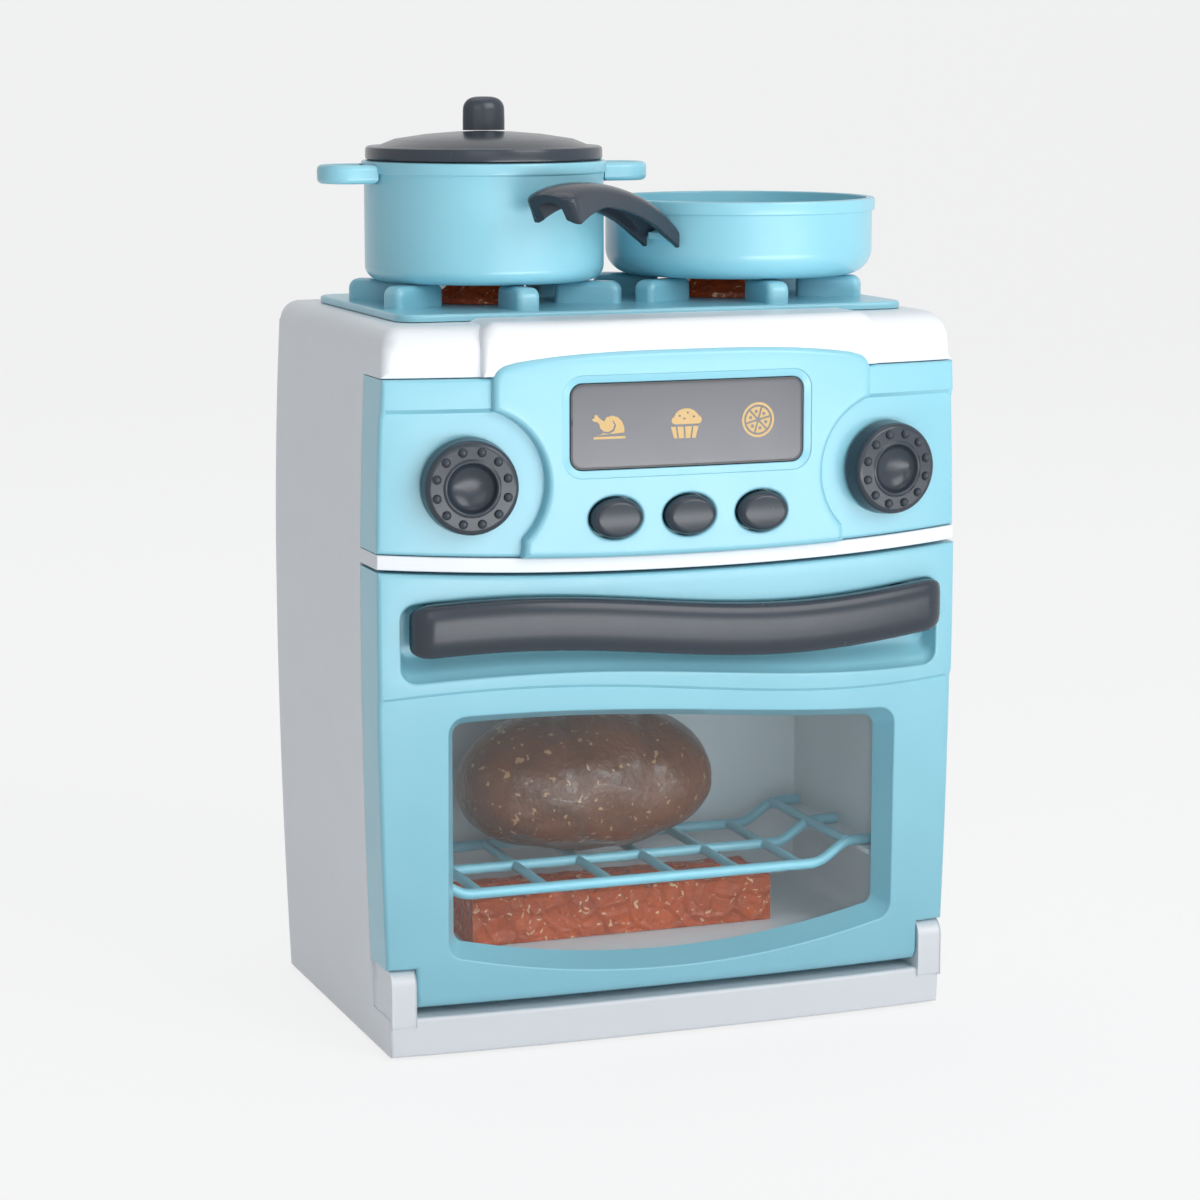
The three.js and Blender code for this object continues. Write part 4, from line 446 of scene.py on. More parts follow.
class Mould:
    """Gathers the skin of one moulded piece and turns it into an object of the scene."""

    FRONT_STEP, BACK_STEP = 3.0, 8.0
    FOOT_ROUND = 0.5
    BEVEL, BEVEL_DEEP = 0.3, 0.15

    def __init__(self):
        self.points = []
        self.faces = []

    def add(self, points, faces):
        start = len(self.points)
        self.points.extend(tuple(map(float, p)) for p in points)
        self.faces.extend(tuple(start + int(i) for i in face) for face in faces)
        return self

    def band(self, loops):
        """Joins loops of equal length one after the other."""
        count = len(loops[0])
        faces = []
        for j in range(len(loops) - 1):
            for i in range(count):
                a, b = j * count + i, j * count + (i + 1) % count
                faces.append((a, b, b + count, a + count))
        return self.add(np.concatenate(loops), faces)

    def loft(self, loops):
        """A band whose first and last loops are closed."""
        self.band(loops)
        for end in (loops[0], loops[-1]):
            self.add(end, [range(len(end))])
        return self

    def fill(self, loops, place, step, lines=None):
        corners, faces = triangulated(loops, step, lines)
        return self.add(place(corners[:, 0], corners[:, 1]), faces)

    def cover(self, outline, face, back, inset, holes=(), lines=None, deep=None, steps=6):
        """A bowed front with rounded edges and a wall all round that runs to a back face."""
        loops = rounded_edge(lambda moved: offset(outline, moved), face, steps, inset, deep)
        inner = offset(outline, np.minimum(self.BEVEL, inset))
        self.band([*loops, on_face(outline, back), on_face(inner, back, self.BEVEL_DEEP)])
        self.fill([offset(outline, inset), *holes], sheet(face), self.FRONT_STEP, lines)
        return self.fill([inner], sheet(back, self.BEVEL_DEEP), self.BACK_STEP)

    def rolled_cover(self, outline, face, back, low, high, side_roll, top_roll, top_depth):
        """A bowed cover whose upper edge rolls back further than its sides do."""
        foot = np.abs(outline[:, 1] - outline[:, 1].min()) < 0.01
        up = np.clip((outline[:, 1] - low) / (high - low), 0, 1) ** 3
        inset = np.where(foot, self.FOOT_ROUND, side_roll + (top_roll - side_roll) * up)
        deep = np.where(foot, self.FOOT_ROUND, side_roll + (top_depth - side_roll) * up)
        return self.cover(outline, face, flat(back), inset, deep=deep, steps=9)

    def hole_rim(self, loop, face, depth, rounding):
        """The rounded rim and the wall of a hole. It gives back the hole to cut in the front."""
        loops = rounded_edge(lambda moved: offset(loop, -moved), face, 5, rounding)
        self.band([*loops, on_face(loop, face, depth)])
        return offset(loop, -rounding)

    def slab(self, outline, low, high, rounding, holes=(), step=6.0, under=True):
        """A plate in plan with rounded rims, and holes whose rims are rounded too."""
        rounds = [(rounding * falls, rounding * rises) for falls, rises in quarter(5)]
        for loop, way in ((outline, 1), *((hole, -1) for hole in holes)):
            edges = [(offset(loop, way * out), up) for out, up in rounds]
            rings = [plan(low + up)(*edge.T) for edge, up in edges]
            if not under:
                rings = [plan(low)(*loop.T)]
            self.band(rings + [plan(high - up)(*edge.T) for edge, up in edges[::-1]])
        rims = [offset(outline, rounding), *(offset(hole, -rounding) for hole in holes)]
        self.fill(rims, plan(high), step)
        return self.fill(rims if under else [outline, *holes], plan(low), step)

    def turned(self, profile, steps=96):
        """A profile of radius and height, turned about the upright axis."""
        return self.band([plan(z)(*ellipse(0, 0, r, r, steps).T) for r, z in profile])

    def swept(self, path, radius):
        """A round bar along a path, with closed ends."""
        path = np.array(path, float)
        along = unit(np.gradient(path, axis=0))
        side = unit(np.cross(along[0], (0.123, 0.456, 0.881)))
        turn = circle(14)[:, None]
        rings = []
        for point, way in zip(path, along):
            side = unit(side - way * np.dot(side, way))
            up = np.cross(way, side)
            rings.append(point + radius * (np.cos(turn) * side + np.sin(turn) * up))
        return self.loft(rings)

    def placed(self, rows, shift=(0, 0, 0)):
        """Turns and moves all that has been gathered so far."""
        spun = np.array(self.points) @ np.array(rows, float).T + shift
        self.points = [tuple(p) for p in spun]
        return self

    def join(self, other):
        return self.add(other.points, other.faces)

    def piece(self, name, material, body, slot, *nodes, crease=38.0):
        mesh = bpy.data.meshes.new(name)
        spots = (np.array(self.points) + (0, SETBACK, 0)) * MM
        mesh.from_pydata(spots.tolist(), [], self.faces)
        made = bmesh.new()
        made.from_mesh(mesh)
        bmesh.ops.remove_doubles(made, verts=made.verts, dist=4e-6)
        bmesh.ops.dissolve_degenerate(made, edges=made.edges, dist=1e-6)
        bmesh.ops.recalc_face_normals(made, faces=made.faces)
        made.to_mesh(mesh)
        made.free()
        mesh.shade_smooth()
        mesh.set_sharp_from_angle(angle=math.radians(crease))
        mesh.materials.append(material)
        shown = bpy.data.objects.new(name, mesh)
        bpy.context.scene.collection.objects.link(shown)
        weighted = shown.modifiers.new("even_shading", "WEIGHTED_NORMAL")
        weighted.keep_sharp = True
        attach(shown, body)
        if nodes:
            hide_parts(*nodes)


# Barrel sides and a bowed front. The cabinet, the panel and the door all follow them, so that
# the gaps between the three stay even.
HALF = 105.0
FRONT = -65.0
TOP = 247.5
WIDEST = 150.0
HEAD_TAPER, FOOT_TAPER = 3.0, 3.5
BOW, BOW_GAIN, BOW_POWER = 4.0, 6.0, 2.6
WRAP_BACK = -46.0
GAP = 0.3
FLANGE = WRAP_BACK + GAP
SKIN = 2.5
PANEL_LOW, PANEL_HIGH = 169.8, 230.5
DOOR_LOW, DOOR_HIGH = 17.3, 163.6
EDGE_RISE = 3.3


def half_width(z):
    up = (z - WIDEST) / (TOP - WIDEST)
    down = (WIDEST - z) / WIDEST
    return HALF - np.where(z > WIDEST, HEAD_TAPER * up * up, FOOT_TAPER * down * down)


def front_face(x, z):
    share = np.clip((z - DOOR_LOW) / (DOOR_HIGH - DOOR_LOW), 0, 1)
    bow = BOW + BOW_GAIN * share
    return FRONT - bow * (1 - np.minimum(1, np.abs(x) / HALF) ** BOW_POWER)


def side_line(rise):
    return np.column_stack([half_width(rise), rise])


def band_edge(x, middle):
    """An edge across the front, which rises towards the sides."""
    return middle + EDGE_RISE * (x / HALF) ** 2


def band_outline(low, high, curved_low=True, curved_high=True):
    """A band across the front, between two levels that may rise towards the sides."""
    low_side = low + (EDGE_RISE if curved_low else 0)
    high_side = high + (EDGE_RISE if curved_high else 0)
    rise = np.linspace(low_side, high_side, max(3, int((high_side - low_side) / 3)))
    share = np.linspace(0, 1, 36)[1:-1]

    def edge(level, curved, reach):
        x = share * reach
        return np.column_stack([x, band_edge(x, level) if curved else np.full(len(x), level)])

    lower = edge(low, curved_low, half_width(low_side))
    upper = edge(high, curved_high, half_width(high_side))[::-1]
    half = [[(0, low)], lower, side_line(rise), upper, [(0, high)]]
    return mirrored_between(np.concatenate(half))


# Cabinet shell: one white moulding with barrel sides and a bowed front. A strip crosses it
# between the panel and the door, a plinth with two hinge ears carries the door, and its top
# front edge rolls back to the hob, with a low hood that the panel's crest leans against.
CORNER = 7.0
SHELL_FOOT, PLINTH_TOP = 1.2, 14.5
WALL, BACK_ROUND, SHELL_STEP = 2.6, 2.0, 9.0
MOUTH, MOUTH_LOW, MOUTH_HIGH, MOUTH_CORNER = 91.3, 24.2, 158.3, 7.3
FRAME, FRAME_LOW, FRAME_HIGH, FRAME_FRONT = 100.1, 35.3, 160.5, -55.2
EAR_FRONT, EAR_BACK, EAR_LOW, EAR_HIGH, EAR_ROUND = -66.5, -43.2, 12.0, 30.9, 5.0
EAR_INNER, EAR_OUTER = 93.0, 101.7
HOOD, HOOD_LOW, HOOD_HIGH, HOOD_ROUND, HOOD_RAISE, HOOD_BACK = 70.6, 231.0, 248.7, 6.0, 2.8, -52.3


def hood_face(x, z):
    return front_face(x, z) - HOOD_RAISE


shoulder = TOP - CORNER
cabinet_side = side_line(np.linspace(SHELL_FOOT, shoulder, 70))
cabinet_corner = arc(float(half_width(TOP)) - CORNER, shoulder, CORNER, 0, 90, 10)[1:]
cabinet_outline = spaced(mirrored(np.concatenate([cabinet_side, cabinet_corner])), 6.0)

shell = Mould()
inner_ring = offset(cabinet_outline, SKIN)
ring = [at_depth(cabinet_outline, FLANGE)]
for falls, rises in quarter(5):
    edge = offset(cabinet_outline, BACK_ROUND * rises)
    ring.append(at_depth(edge, CABINET_BACK - BACK_ROUND * falls))
ring += [at_depth(inner_ring, CABINET_BACK), at_depth(inner_ring, FLANGE + WALL)]
shell.band(ring)
oven_mouth = rounded_box(-MOUTH, MOUTH, MOUTH_LOW, MOUTH_HIGH, MOUTH_CORNER)
shell.fill([cabinet_outline, oven_mouth], sheet(flat(FLANGE)), SHELL_STEP)
shell.fill([inner_ring, oven_mouth], sheet(flat(FLANGE + WALL)), SHELL_STEP)
shell.band([at_depth(oven_mouth, FLANGE), at_depth(oven_mouth, FLANGE + WALL)])
frame_parts = [
    [(MOUTH, FRAME_LOW), (FRAME, FRAME_LOW)],
    arc(FRAME - CORNER, FRAME_HIGH - CORNER, CORNER, 0, 90, 6),
    arc(CORNER - FRAME, FRAME_HIGH - CORNER, CORNER, 90, 180, 6),
    [(-FRAME, FRAME_LOW), (-MOUTH, FRAME_LOW)],
    arc(MOUTH_CORNER - MOUTH, MOUTH_HIGH - MOUTH_CORNER, MOUTH_CORNER, 180, 90, 6),
    arc(MOUTH - MOUTH_CORNER, MOUTH_HIGH - MOUTH_CORNER, MOUTH_CORNER, 90, 0, 6),
]
frame_outline = spaced(np.concatenate(frame_parts))
shell.band([at_depth(frame_outline, FRAME_FRONT), at_depth(frame_outline, FLANGE)])
shell.fill([frame_outline], sheet(flat(FRAME_FRONT)), SHELL_STEP)

brow_low = PANEL_HIGH + GAP
brow_half = np.concatenate([side_line(np.linspace(brow_low, shoulder, 6)), cabinet_corner])
brow_roll = {"side_roll": 3.0, "top_roll": 8.0, "top_depth": 10.0}
shell.rolled_cover(spaced(mirrored(brow_half)), front_face, FLANGE, brow_low, TOP, **brow_roll)
shell.cover(band_outline(DOOR_HIGH + 1.0, PANEL_LOW - GAP), front_face, flat(FLANGE), 0.5)
plinth = spaced(mirrored(side_line(np.array([SHELL_FOOT, PLINTH_TOP]))))
shell.cover(plinth, front_face, flat(FLANGE), 1.2)
ear_crown = arc(EAR_FRONT + EAR_ROUND, EAR_HIGH - EAR_ROUND, EAR_ROUND, 90, 180, 8)
ear_back = [(EAR_BACK, EAR_LOW), (EAR_BACK, EAR_HIGH)]
ear = np.concatenate([ear_back, ear_crown, [(EAR_FRONT, EAR_LOW)]])[::-1]
for side in (-1, 1):
    block = Mould().slab(spaced(ear), EAR_INNER, EAR_OUTER, 0.6)
    shell.join(block.placed(((0, 0, side), (1, 0, 0), (0, 1, 0))))
hood_side = np.column_stack([np.full(6, HOOD), np.linspace(HOOD_LOW, 241.5, 6)])
hood_crown = arc(HOOD - HOOD_ROUND, HOOD_HIGH - HOOD_ROUND, HOOD_ROUND, 0, 90, 8)
hood = spaced(mirrored(np.concatenate([hood_side, hood_crown])), 3.0)
hood_roll = {"side_roll": 1.6, "top_roll": 6.0, "top_depth": 6.0}
shell.rolled_cover(hood, hood_face, HOOD_BACK, HOOD_LOW, HOOD_HIGH, **hood_roll)
shell.piece("cabinet_moulding", white, "cabinet", "white_plastic", "cabinet_shell")


# Control panel: a teal cover that drops between the brow and the strip. The shield is raised on
# it, hollowed round each dial, with a bevelled frame for the display and three button holes.
SIDE_BAND_RAISE, SIDE_BAND_LOW, SIDE_BAND_SLOPE = 1.4, 219.3, 1.3
SHIELD_RAISE = 4.5
CREST, CREST_HIGH = 63.4, 238.7
DIAL_X, DIAL_Z, DIAL_HOLLOW = 75.0, 195.3, 25.6
BUTTON_XS, BUTTON_Z = (-26.2, 0.0, 26.2), 183.3
BUTTON_HALF = np.array([9.0, 6.7])
BUTTON_ROOM = 0.5
BEZEL_OUT = -3.0
BEZEL_STEPS = ((BEZEL_OUT, 0.0), (-2.7, 0.36), (-0.6, 0.8), (-0.3, 1.1), (-0.3, 3.2))


def panel_face(x, z):
    return front_face(x, z) - SIDE_BAND_RAISE * smooth((z - SIDE_BAND_LOW) / SIDE_BAND_SLOPE)


def shield_face(x, z):
    return front_face(x, z) - SHIELD_RAISE


def shield_seat(x, z):
    """The back of the shield, just inside the panel, and in front of the hood above it."""
    return front_face(x, z) + np.where(z < 230.4, 0.5, -0.3)


panel = Mould()
panel_outline = band_outline(PANEL_LOW, PANEL_HIGH, curved_high=False)
side_band_lines = level_lines(np.arange(-104, 104, 2.5), (219.2, 219.95, 220.7))
panel.cover(panel_outline, panel_face, flat(WRAP_BACK), 1.3, lines=side_band_lines)
foot_x = np.linspace(0, 57.9, 16)
crest_x = np.linspace(CREST, 0, 20)[1:]
shield_parts = [
    np.column_stack([foot_x, band_edge(foot_x, PANEL_LOW)]),
    [(57.5, 172.6), (57.25, 174.8)],
    arc(DIAL_X, DIAL_Z, DIAL_HOLLOW, 226.3, 106.8, 40),
    [(67.65, 224.0)],
    arc(61.6, 229.0, 6.0, 0, 70, 8),
    np.column_stack([crest_x, CREST_HIGH - 3.6 * (crest_x / CREST) ** 3.0]),
]
shield_outline = spaced(mirrored_between(np.concatenate(shield_parts)), 3.0)
display_outline = rounded_box(-41.7, 41.7, 199.55, 228.05, 4.0, longest=3.0)
panel.band([on_face(offset(display_outline, out), shield_face, y) for out, y in BEZEL_STEPS])
holes = [offset(display_outline, BEZEL_OUT)]
for x in BUTTON_XS:
    ring_edge = ellipse(x, BUTTON_Z, *(BUTTON_HALF + BUTTON_ROOM))
    holes.append(panel.hole_rim(ring_edge, shield_face, 5.0, 1.0))
panel.cover(shield_outline, shield_face, shield_seat, 2.0, holes)
panel.piece("panel_moulding", teal, "cabinet", "teal_plastic", "control_panel")


# Display: a smoked window let into the bezel, with a darker printed border and three golden
# cooking signs printed on it. It is pressed in from behind and lit by the lamps on the board.
PANE_RAISE, PANE_THICK, INK = 3.5, 1.6, 0.06
PIZZA_X, PIZZA_Z = 25.0, 214.0
glassy = {"gloss": 0.2, "gloss_range": 0.08, "blotch": 0.1, "grain": 0.02}
smoked = plastic("smoked_window", (64, 67, 77), coat=0.3, **glassy)
dark_print = plastic("border_print", (24, 26, 30), gloss=0.3, gloss_range=0.06, grain=0.01)
gold_print = plastic("golden_print", (206, 172, 112), gloss=0.4, grain=0.05)


def display_face(x, z):
    return front_face(x, z) - PANE_RAISE


def display_back(x, z):
    return display_face(x, z) + PANE_THICK


def printed(name, loops, material):
    """A print on the display: one even layer inside an outline."""
    ink = Mould().fill(loops, sheet(display_face, -INK), 2.0)
    for loop in loops:
        ink.band([on_face(loop, display_face, -INK), on_face(loop, display_face)])
    ink.piece(name, material, "cabinet", "smoked_plastic")


window = Mould().cover(display_outline, display_face, display_back, 0.25)
window.piece("display_pane", smoked, "cabinet", "smoked_plastic", "display_window")
border = [offset(display_outline, 0.3), offset(display_outline, 0.8)]
printed("display_border", border, dark_print)

back = [(-21.8, 211.6), (-21.9, 213.4), (-22.6, 215.2), (-24.0, 216.7), (-26.0, 217.3)]
back += [(-28.0, 216.9)]
leg = [(-28.9, 215.4), (-29.6, 215.9), (-30.6, 216.6), (-31.4, 217.7), (-32.2, 217.6)]
leg += [(-32.3, 216.7), (-33.1, 216.3), (-32.6, 215.6), (-31.4, 215.4), (-30.6, 214.6)]
leg += [(-30.2, 213.2), (-29.0, 212.2), (-27.4, 211.9), (-25.9, 212.7), (-25.3, 214.2)]
leg += [(-26.0, 215.6), (-25.6, 215.7), (-24.7, 214.1), (-25.4, 212.2), (-27.2, 211.3)]
belly = [(-29.3, 211.6), (-29.9, 211.2), (-32.2, 210.9)]
bird = [spaced(np.array([*back, *leg, *belly])[::-1], 0.8)]
bird.append(rounded_box(-32.6, -21.4, 209.6, 210.4, 0.35, 3, 1.0)[::-1])
printed("sign_roast", [loop - (1.2, 0.0) for loop in bird], gold_print)

muffin_top = [
    arc(-4.6, 214.9, 1.4, 250, 120, 8),
    arc(-1.7, 214.9, 3.9, 140, 40, 12),
    arc(1.6, 214.9, 1.4, 60, -70, 8),
]
muffin = [spaced(np.concatenate(muffin_top)[::-1], 0.8)]
for x, z in ((-3.6, 216.4), (-1.2, 217.4), (0.6, 216.0), (-2.2, 215.4)):
    muffin.append(ellipse(x, z, 0.38, 0.38, 10))
for low_left, low_right, high_left, high_right in (
    (-5.3, -4.3, -6.2, -4.8),
    (-3.8, -2.3, -4.3, -2.5),
    (-1.8, -0.4, -2.0, 0.0),
    (0.1, 1.2, 0.5, 2.0),
):
    foot = [(low_left, 208.9), (low_right, 208.9)]
    muffin.append(np.array([*foot, (high_right, 212.8), (high_left, 212.8)]))
muffin = [(loop - (-1.6, 0.0)) * (1.2, 1.0) + (-1.0, 0.0) for loop in muffin]
printed("sign_muffin", muffin, gold_print)

pizza = [ellipse(PIZZA_X, PIZZA_Z, radius, radius, 48) for radius in (5.9, 5.1)]
for start in range(18, 360, 60):
    middle = math.radians(start + 26)
    tip, spot = (
        (PIZZA_X + reach * math.cos(middle), PIZZA_Z + reach * math.sin(middle))
        for reach in (0.7, 2.9)
    )
    pizza.append(np.concatenate([[tip], arc(PIZZA_X, PIZZA_Z, 4.4, start, start + 52, 8)]))
    pizza.append(ellipse(*spot, 0.6, 0.6, 12))
printed("sign_pizza", pizza, gold_print)


# Dials: turned charcoal caps with twelve studs and a dished middle inside a thin rolled rim.
# Each turns on a shaft through the panel and is held from behind by a screw.
DIAL_SEAT, DIAL_LEAN = -70.831, math.radians(8.224)
STUDS, STUD_RING, STUD_SEAT = 12, 12.2, 8.45
dial_profile = [(0, 0.5), (15.3, 0.5), (15.9, 0.7), (16.2, 1.3), (16.15, 2.2), (15.7, 6.6)]
dial_profile += [(15.45, 7.5), (15.0, 8.1), (14.3, 8.42), (13.7, 8.5), (9.8, 8.5), (9.45, 8.62)]
dial_profile += [(9.2, 8.85), (8.85, 8.95), (8.5, 8.85), (8.2, 8.5), (7.9, 7.7), (7.2, 6.6)]
dial_profile += [(5.9, 5.8), (4.0, 5.3), (2.0, 5.1), (0, 5.05)]
stud_turns = np.linspace(-0.2, math.pi / 2, 8)
stud_profile = [(1.55 * math.cos(turn), 1.5 * math.sin(turn)) for turn in stud_turns]
for side, label in ((-1, "left"), (1, "right")):
    cap = Mould().turned(dial_profile, 112)
    for step in range(STUDS):
        turn = math.radians((step + 0.5) * 360 / STUDS)
        spot = (STUD_RING * math.cos(turn), STUD_RING * math.sin(turn), STUD_SEAT)
        cap.join(Mould().turned(stud_profile, 20).placed(AS_IS, spot))
    out = (side * math.sin(DIAL_LEAN), -math.cos(DIAL_LEAN), 0)
    right = (math.cos(DIAL_LEAN), side * math.sin(DIAL_LEAN), 0)
    cap.join(Mould().turned([(0, -5.0), (3.0, -5.0), (3.0, 0.8), (0, 0.8)], 32))
    cap.placed(tuple(zip(right, (0, 0, 1), out)), (side * DIAL_X, DIAL_SEAT, DIAL_Z))
    body, node = f"{label}_dial", f"dial_{label}"
    cap.piece(f"{node}_cap", charcoal, body, "charcoal_plastic", node, crease=50)


# Push buttons: charcoal ovals with a softly domed top inside a shallow shoulder. Each slides in
# its hole on a stem that presses a switch on the board.
STEM = 7.6
button_steps = [(1.0, 5.9), (1.0, 2.6), (0.99, 2.1), (0.965, 1.65), (0.93, 1.3), (0.88, 0.85)]
button_steps += [(0.85, 0.6), (0.82, 0.42), (0.78, 0.32), (0.72, 0.26), (0.5, 0.1), (0.25, 0.02)]
button_steps += [(0.02, 0.0)]
button_names = zip(BUTTON_XS, ("left", "middle", "right"), ("button_1", "button_2", "button_3"))
for x, label, node in button_names:
    low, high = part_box(node)
    tip = low.y / MM - SETBACK
    loops = []
    for size, deep in button_steps:
        loops.append(at_depth(ellipse(x, BUTTON_Z, *(BUTTON_HALF * size)), tip + deep))
    stem = Mould().turned([(0, 0), (2.4, 0), (2.4, STEM), (0, STEM)], 24)
    stem.placed(TO_FRONT, (x, high.y / MM - SETBACK, BUTTON_Z))
    button = Mould().loft(loops).join(stem)
    body = f"{label}_button"
    button.piece(f"{body}_cap", charcoal, body, "charcoal_plastic", node, crease=50)


# Oven door: a teal tray that wraps round the sides, with a raised band over a waved step, a
# pocket for the handle and a deep sloped frame round the window. It hangs on two pins.
BAND_RAISE, FOOT_ROLL, DOOR_ROUND = 1.2, 4.0, 1.4
EAR_NOTCH, EAR_NOTCH_TOP = 92.7, 31.5
INNER_SKIN = SKIN + 1.2
POCKET_DEEP, POCKET_ROUND, POCKET_SHELL = 7.0, 1.0, 2.2
POCKET, POCKET_CORNER, POCKET_DRAFT, POCKET_SWEEP = 97.5, 5.0, 1.5, 6.5
REVEAL_BACK, REVEAL, REVEAL_ROUND = -59.4, 4.0, 0.8
WINDOW, WINDOW_LOW, WINDOW_CORNER, WINDOW_SAG = 81.5, 34.0, 6.0, 8.7
SEAT = 2.0


def wave(x, middle, swing, crest, half_wave):
    return middle + swing * np.cos(np.pi * (x - crest) / half_wave)


def handle_line(x):
    return wave(x, 146.7, 3.1, -60, 97)


def step_line(x):
    return wave(x, 122.7, 4.0, -55, 125)


def door_face(x, z):
    low = np.clip((DOOR_LOW + FOOT_ROLL - z) / FOOT_ROLL, 0, 1)
    rolled = FOOT_ROLL * (1 - np.sqrt(np.maximum(0, 1 - low * low)))
    return front_face(x, z) + rolled - BAND_RAISE * smooth(z - step_line(x) + 0.5)


def waved_frame(half, low, high, radius):
    """An upright frame whose lower and upper edges follow two lines."""
    edge = half - radius
    x = np.linspace(-edge, edge, 44)
    parts = [np.column_stack([x, low(x)])]
    for side, start in ((1, -90), (-1, 90)):
        foot = float(low(side * edge)) + radius
        head = float(high(side * edge)) - radius
        first, second = (foot, head)[::side]
        parts.append(arc(side * edge, first, radius, start, start + 90, 7)[1:])
        rise = np.linspace(first, second, 18)[1:-1]
        parts.append(np.column_stack([np.full(len(rise), side * half), rise]))
        parts.append(arc(side * edge, second, radius, start + 90, start + 180, 7)[:-1])
        if side > 0:
            parts.append(np.column_stack([x[::-1], high(x[::-1])]))
    return np.concatenate(parts)


def window_frame(moved, radius):
    """The window's outline, moved inwards."""
    half = WINDOW - moved

    def low(x):
        return WINDOW_LOW + moved - WINDOW_SAG * (1 - (x / (half - radius)) ** 2)

    return waved_frame(half, low, lambda x: wave(x, 113.9, 3.9, -55, 150) - moved, radius)


def pocket_frame(moved, radius):
    """The outline of the handle's pocket, moved inwards."""

    def low(x):
        return wave(x, 128.0, 3.5, -50, 130) + moved

    return waved_frame(POCKET - moved, low, lambda x: handle_line(x) + 7.8 - moved, radius)


def pocket_ring(part):
    """A loop of the pocket's wall at a share of its depth, and where it sweeps up from below."""
    loop = pocket_frame(POCKET_DRAFT * part, POCKET_CORNER - POCKET_DRAFT * part)
    low = smooth((142.0 - loop[:, 1]) / 10.0)
    loop[:, 1] += POCKET_SWEEP * part * low
    return loop, low


share = np.linspace(1, 0, 37)[1:]
reach = float(half_width(DOOR_HIGH + EDGE_RISE))
door_parts = [
    np.column_stack([np.linspace(0, EAR_NOTCH, 26), np.full(26, DOOR_LOW)]),
    [(EAR_NOTCH, z) for z in (21.0, 25.0, 28.5, EAR_NOTCH_TOP)],
    [(x, EAR_NOTCH_TOP) for x in (96.0, 99.0)],
    side_line(np.linspace(EAR_NOTCH_TOP, DOOR_HIGH + EDGE_RISE, 52)),
    np.column_stack([share * reach, band_edge(share * reach, DOOR_HIGH)]),
]
door_outline = mirrored_between(np.concatenate(door_parts))

door = Mould()
rings = rounded_edge(lambda moved: offset(door_outline, moved), door_face, 6, DOOR_ROUND)
inner_outline = offset(door_outline, SKIN)
rings += [at_depth(door_outline, WRAP_BACK), at_depth(inner_outline, WRAP_BACK)]
rings.append(on_face(inner_outline, door_face, INNER_SKIN))
door.band(rings)

rings = rounded_edge(
    lambda moved: pocket_frame(-moved, POCKET_CORNER + moved), door_face, 5, POCKET_ROUND
)
for part in np.linspace(0, 1, 9)[1:]:
    loop, low = pocket_ring(part)
    steep = 1 - (1 - part) ** 2.5
    deep = (POCKET_DEEP - POCKET_ROUND) * (steep + (smooth(part) - steep) * low)
    rings.append(on_face(loop, front_face, deep + POCKET_ROUND))
door.band(rings)
door.fill([pocket_ring(1.0)[0]], sheet(front_face, POCKET_DEEP), 3.0)

rings = rounded_edge(
    lambda moved: window_frame(-moved, WINDOW_CORNER + moved), door_face, 5, REVEAL_ROUND
)
front_edge = rings[-1][:, 1]
for part in np.linspace(0, 1, 7)[1:]:
    loop = window_frame(REVEAL * part, WINDOW_CORNER - 2.0 * part)
    rings.append(at_depth(loop, front_edge + (REVEAL_BACK - front_edge) * part))
rings.append(at_depth(window_frame(1.3, 4.6), REVEAL_BACK))
rings.append(at_depth(window_frame(1.3, 4.6), REVEAL_BACK + SEAT))
rings.append(at_depth(window_frame(-1.5, 5.4), REVEAL_BACK + SEAT))
rings.append(on_face(window_frame(-2.5, 7.0), door_face, INNER_SKIN))
door.band(rings)

line_x = np.arange(-103, 103.1, 2.2)
step_lines = [np.column_stack([line_x, step_line(line_x) + up]) for up in (-0.55, 0.0, 0.55)]
roll_lines = level_lines(np.arange(-91, 91.1, 3.0), (19.4, 20.2, 21.3))
door_loops = [offset(door_outline, DOOR_ROUND), pocket_frame(-1.0, 6.0), window_frame(-0.8, 6.8)]
door.fill(door_loops, sheet(door_face), 3.2, np.concatenate([*step_lines, roll_lines]))
tub = pocket_frame(-1.6, 6.6)
tub_back = POCKET_DEEP + POCKET_SHELL
door.band([on_face(tub, door_face, INNER_SKIN), on_face(tub, front_face, tub_back)])
door.fill([tub], sheet(front_face, tub_back), 7.0)
door.fill([inner_outline, tub, window_frame(-2.5, 7.0)], sheet(door_face, INNER_SKIN), 6.0)
door.piece("door_moulding", teal, "door", "teal_plastic", "door_shell")


# Window pane: clear moulded plastic that lies against the back of the sloped frame. It is a
# little uneven, so that what stands in the oven swims slightly behind it. Light passes straight
# through it, so that the oven isn't dark.
PANE = 1.6
uneven = {"blotch": 0.01, "gloss": 0.04, "gloss_range": 0.03, "grain": 0.001}
clear, nodes, links, shader = marked("clear_pane", moulding_marks, (236, 246, 248), **uneven)
shader.inputs["Transmission Weight"].default_value = 1.0
shader.inputs["IOR"].default_value = 1.4
through = nodes.new("ShaderNodeBsdfTransparent")
shadow_ray = nodes.new("ShaderNodeLightPath").outputs["Is Shadow Ray"]
mix_surface(nodes, links, shadow_ray, shader, through)
pane = Mould().slab(window_frame(1.6, 4.4), 0, PANE, 0.3, step=9.0)
pane.placed(TO_FRONT, (0, REVEAL_BACK + GAP + PANE, 0))
pane.piece("window_pane", clear, "door", "clear_plastic", "door_window")


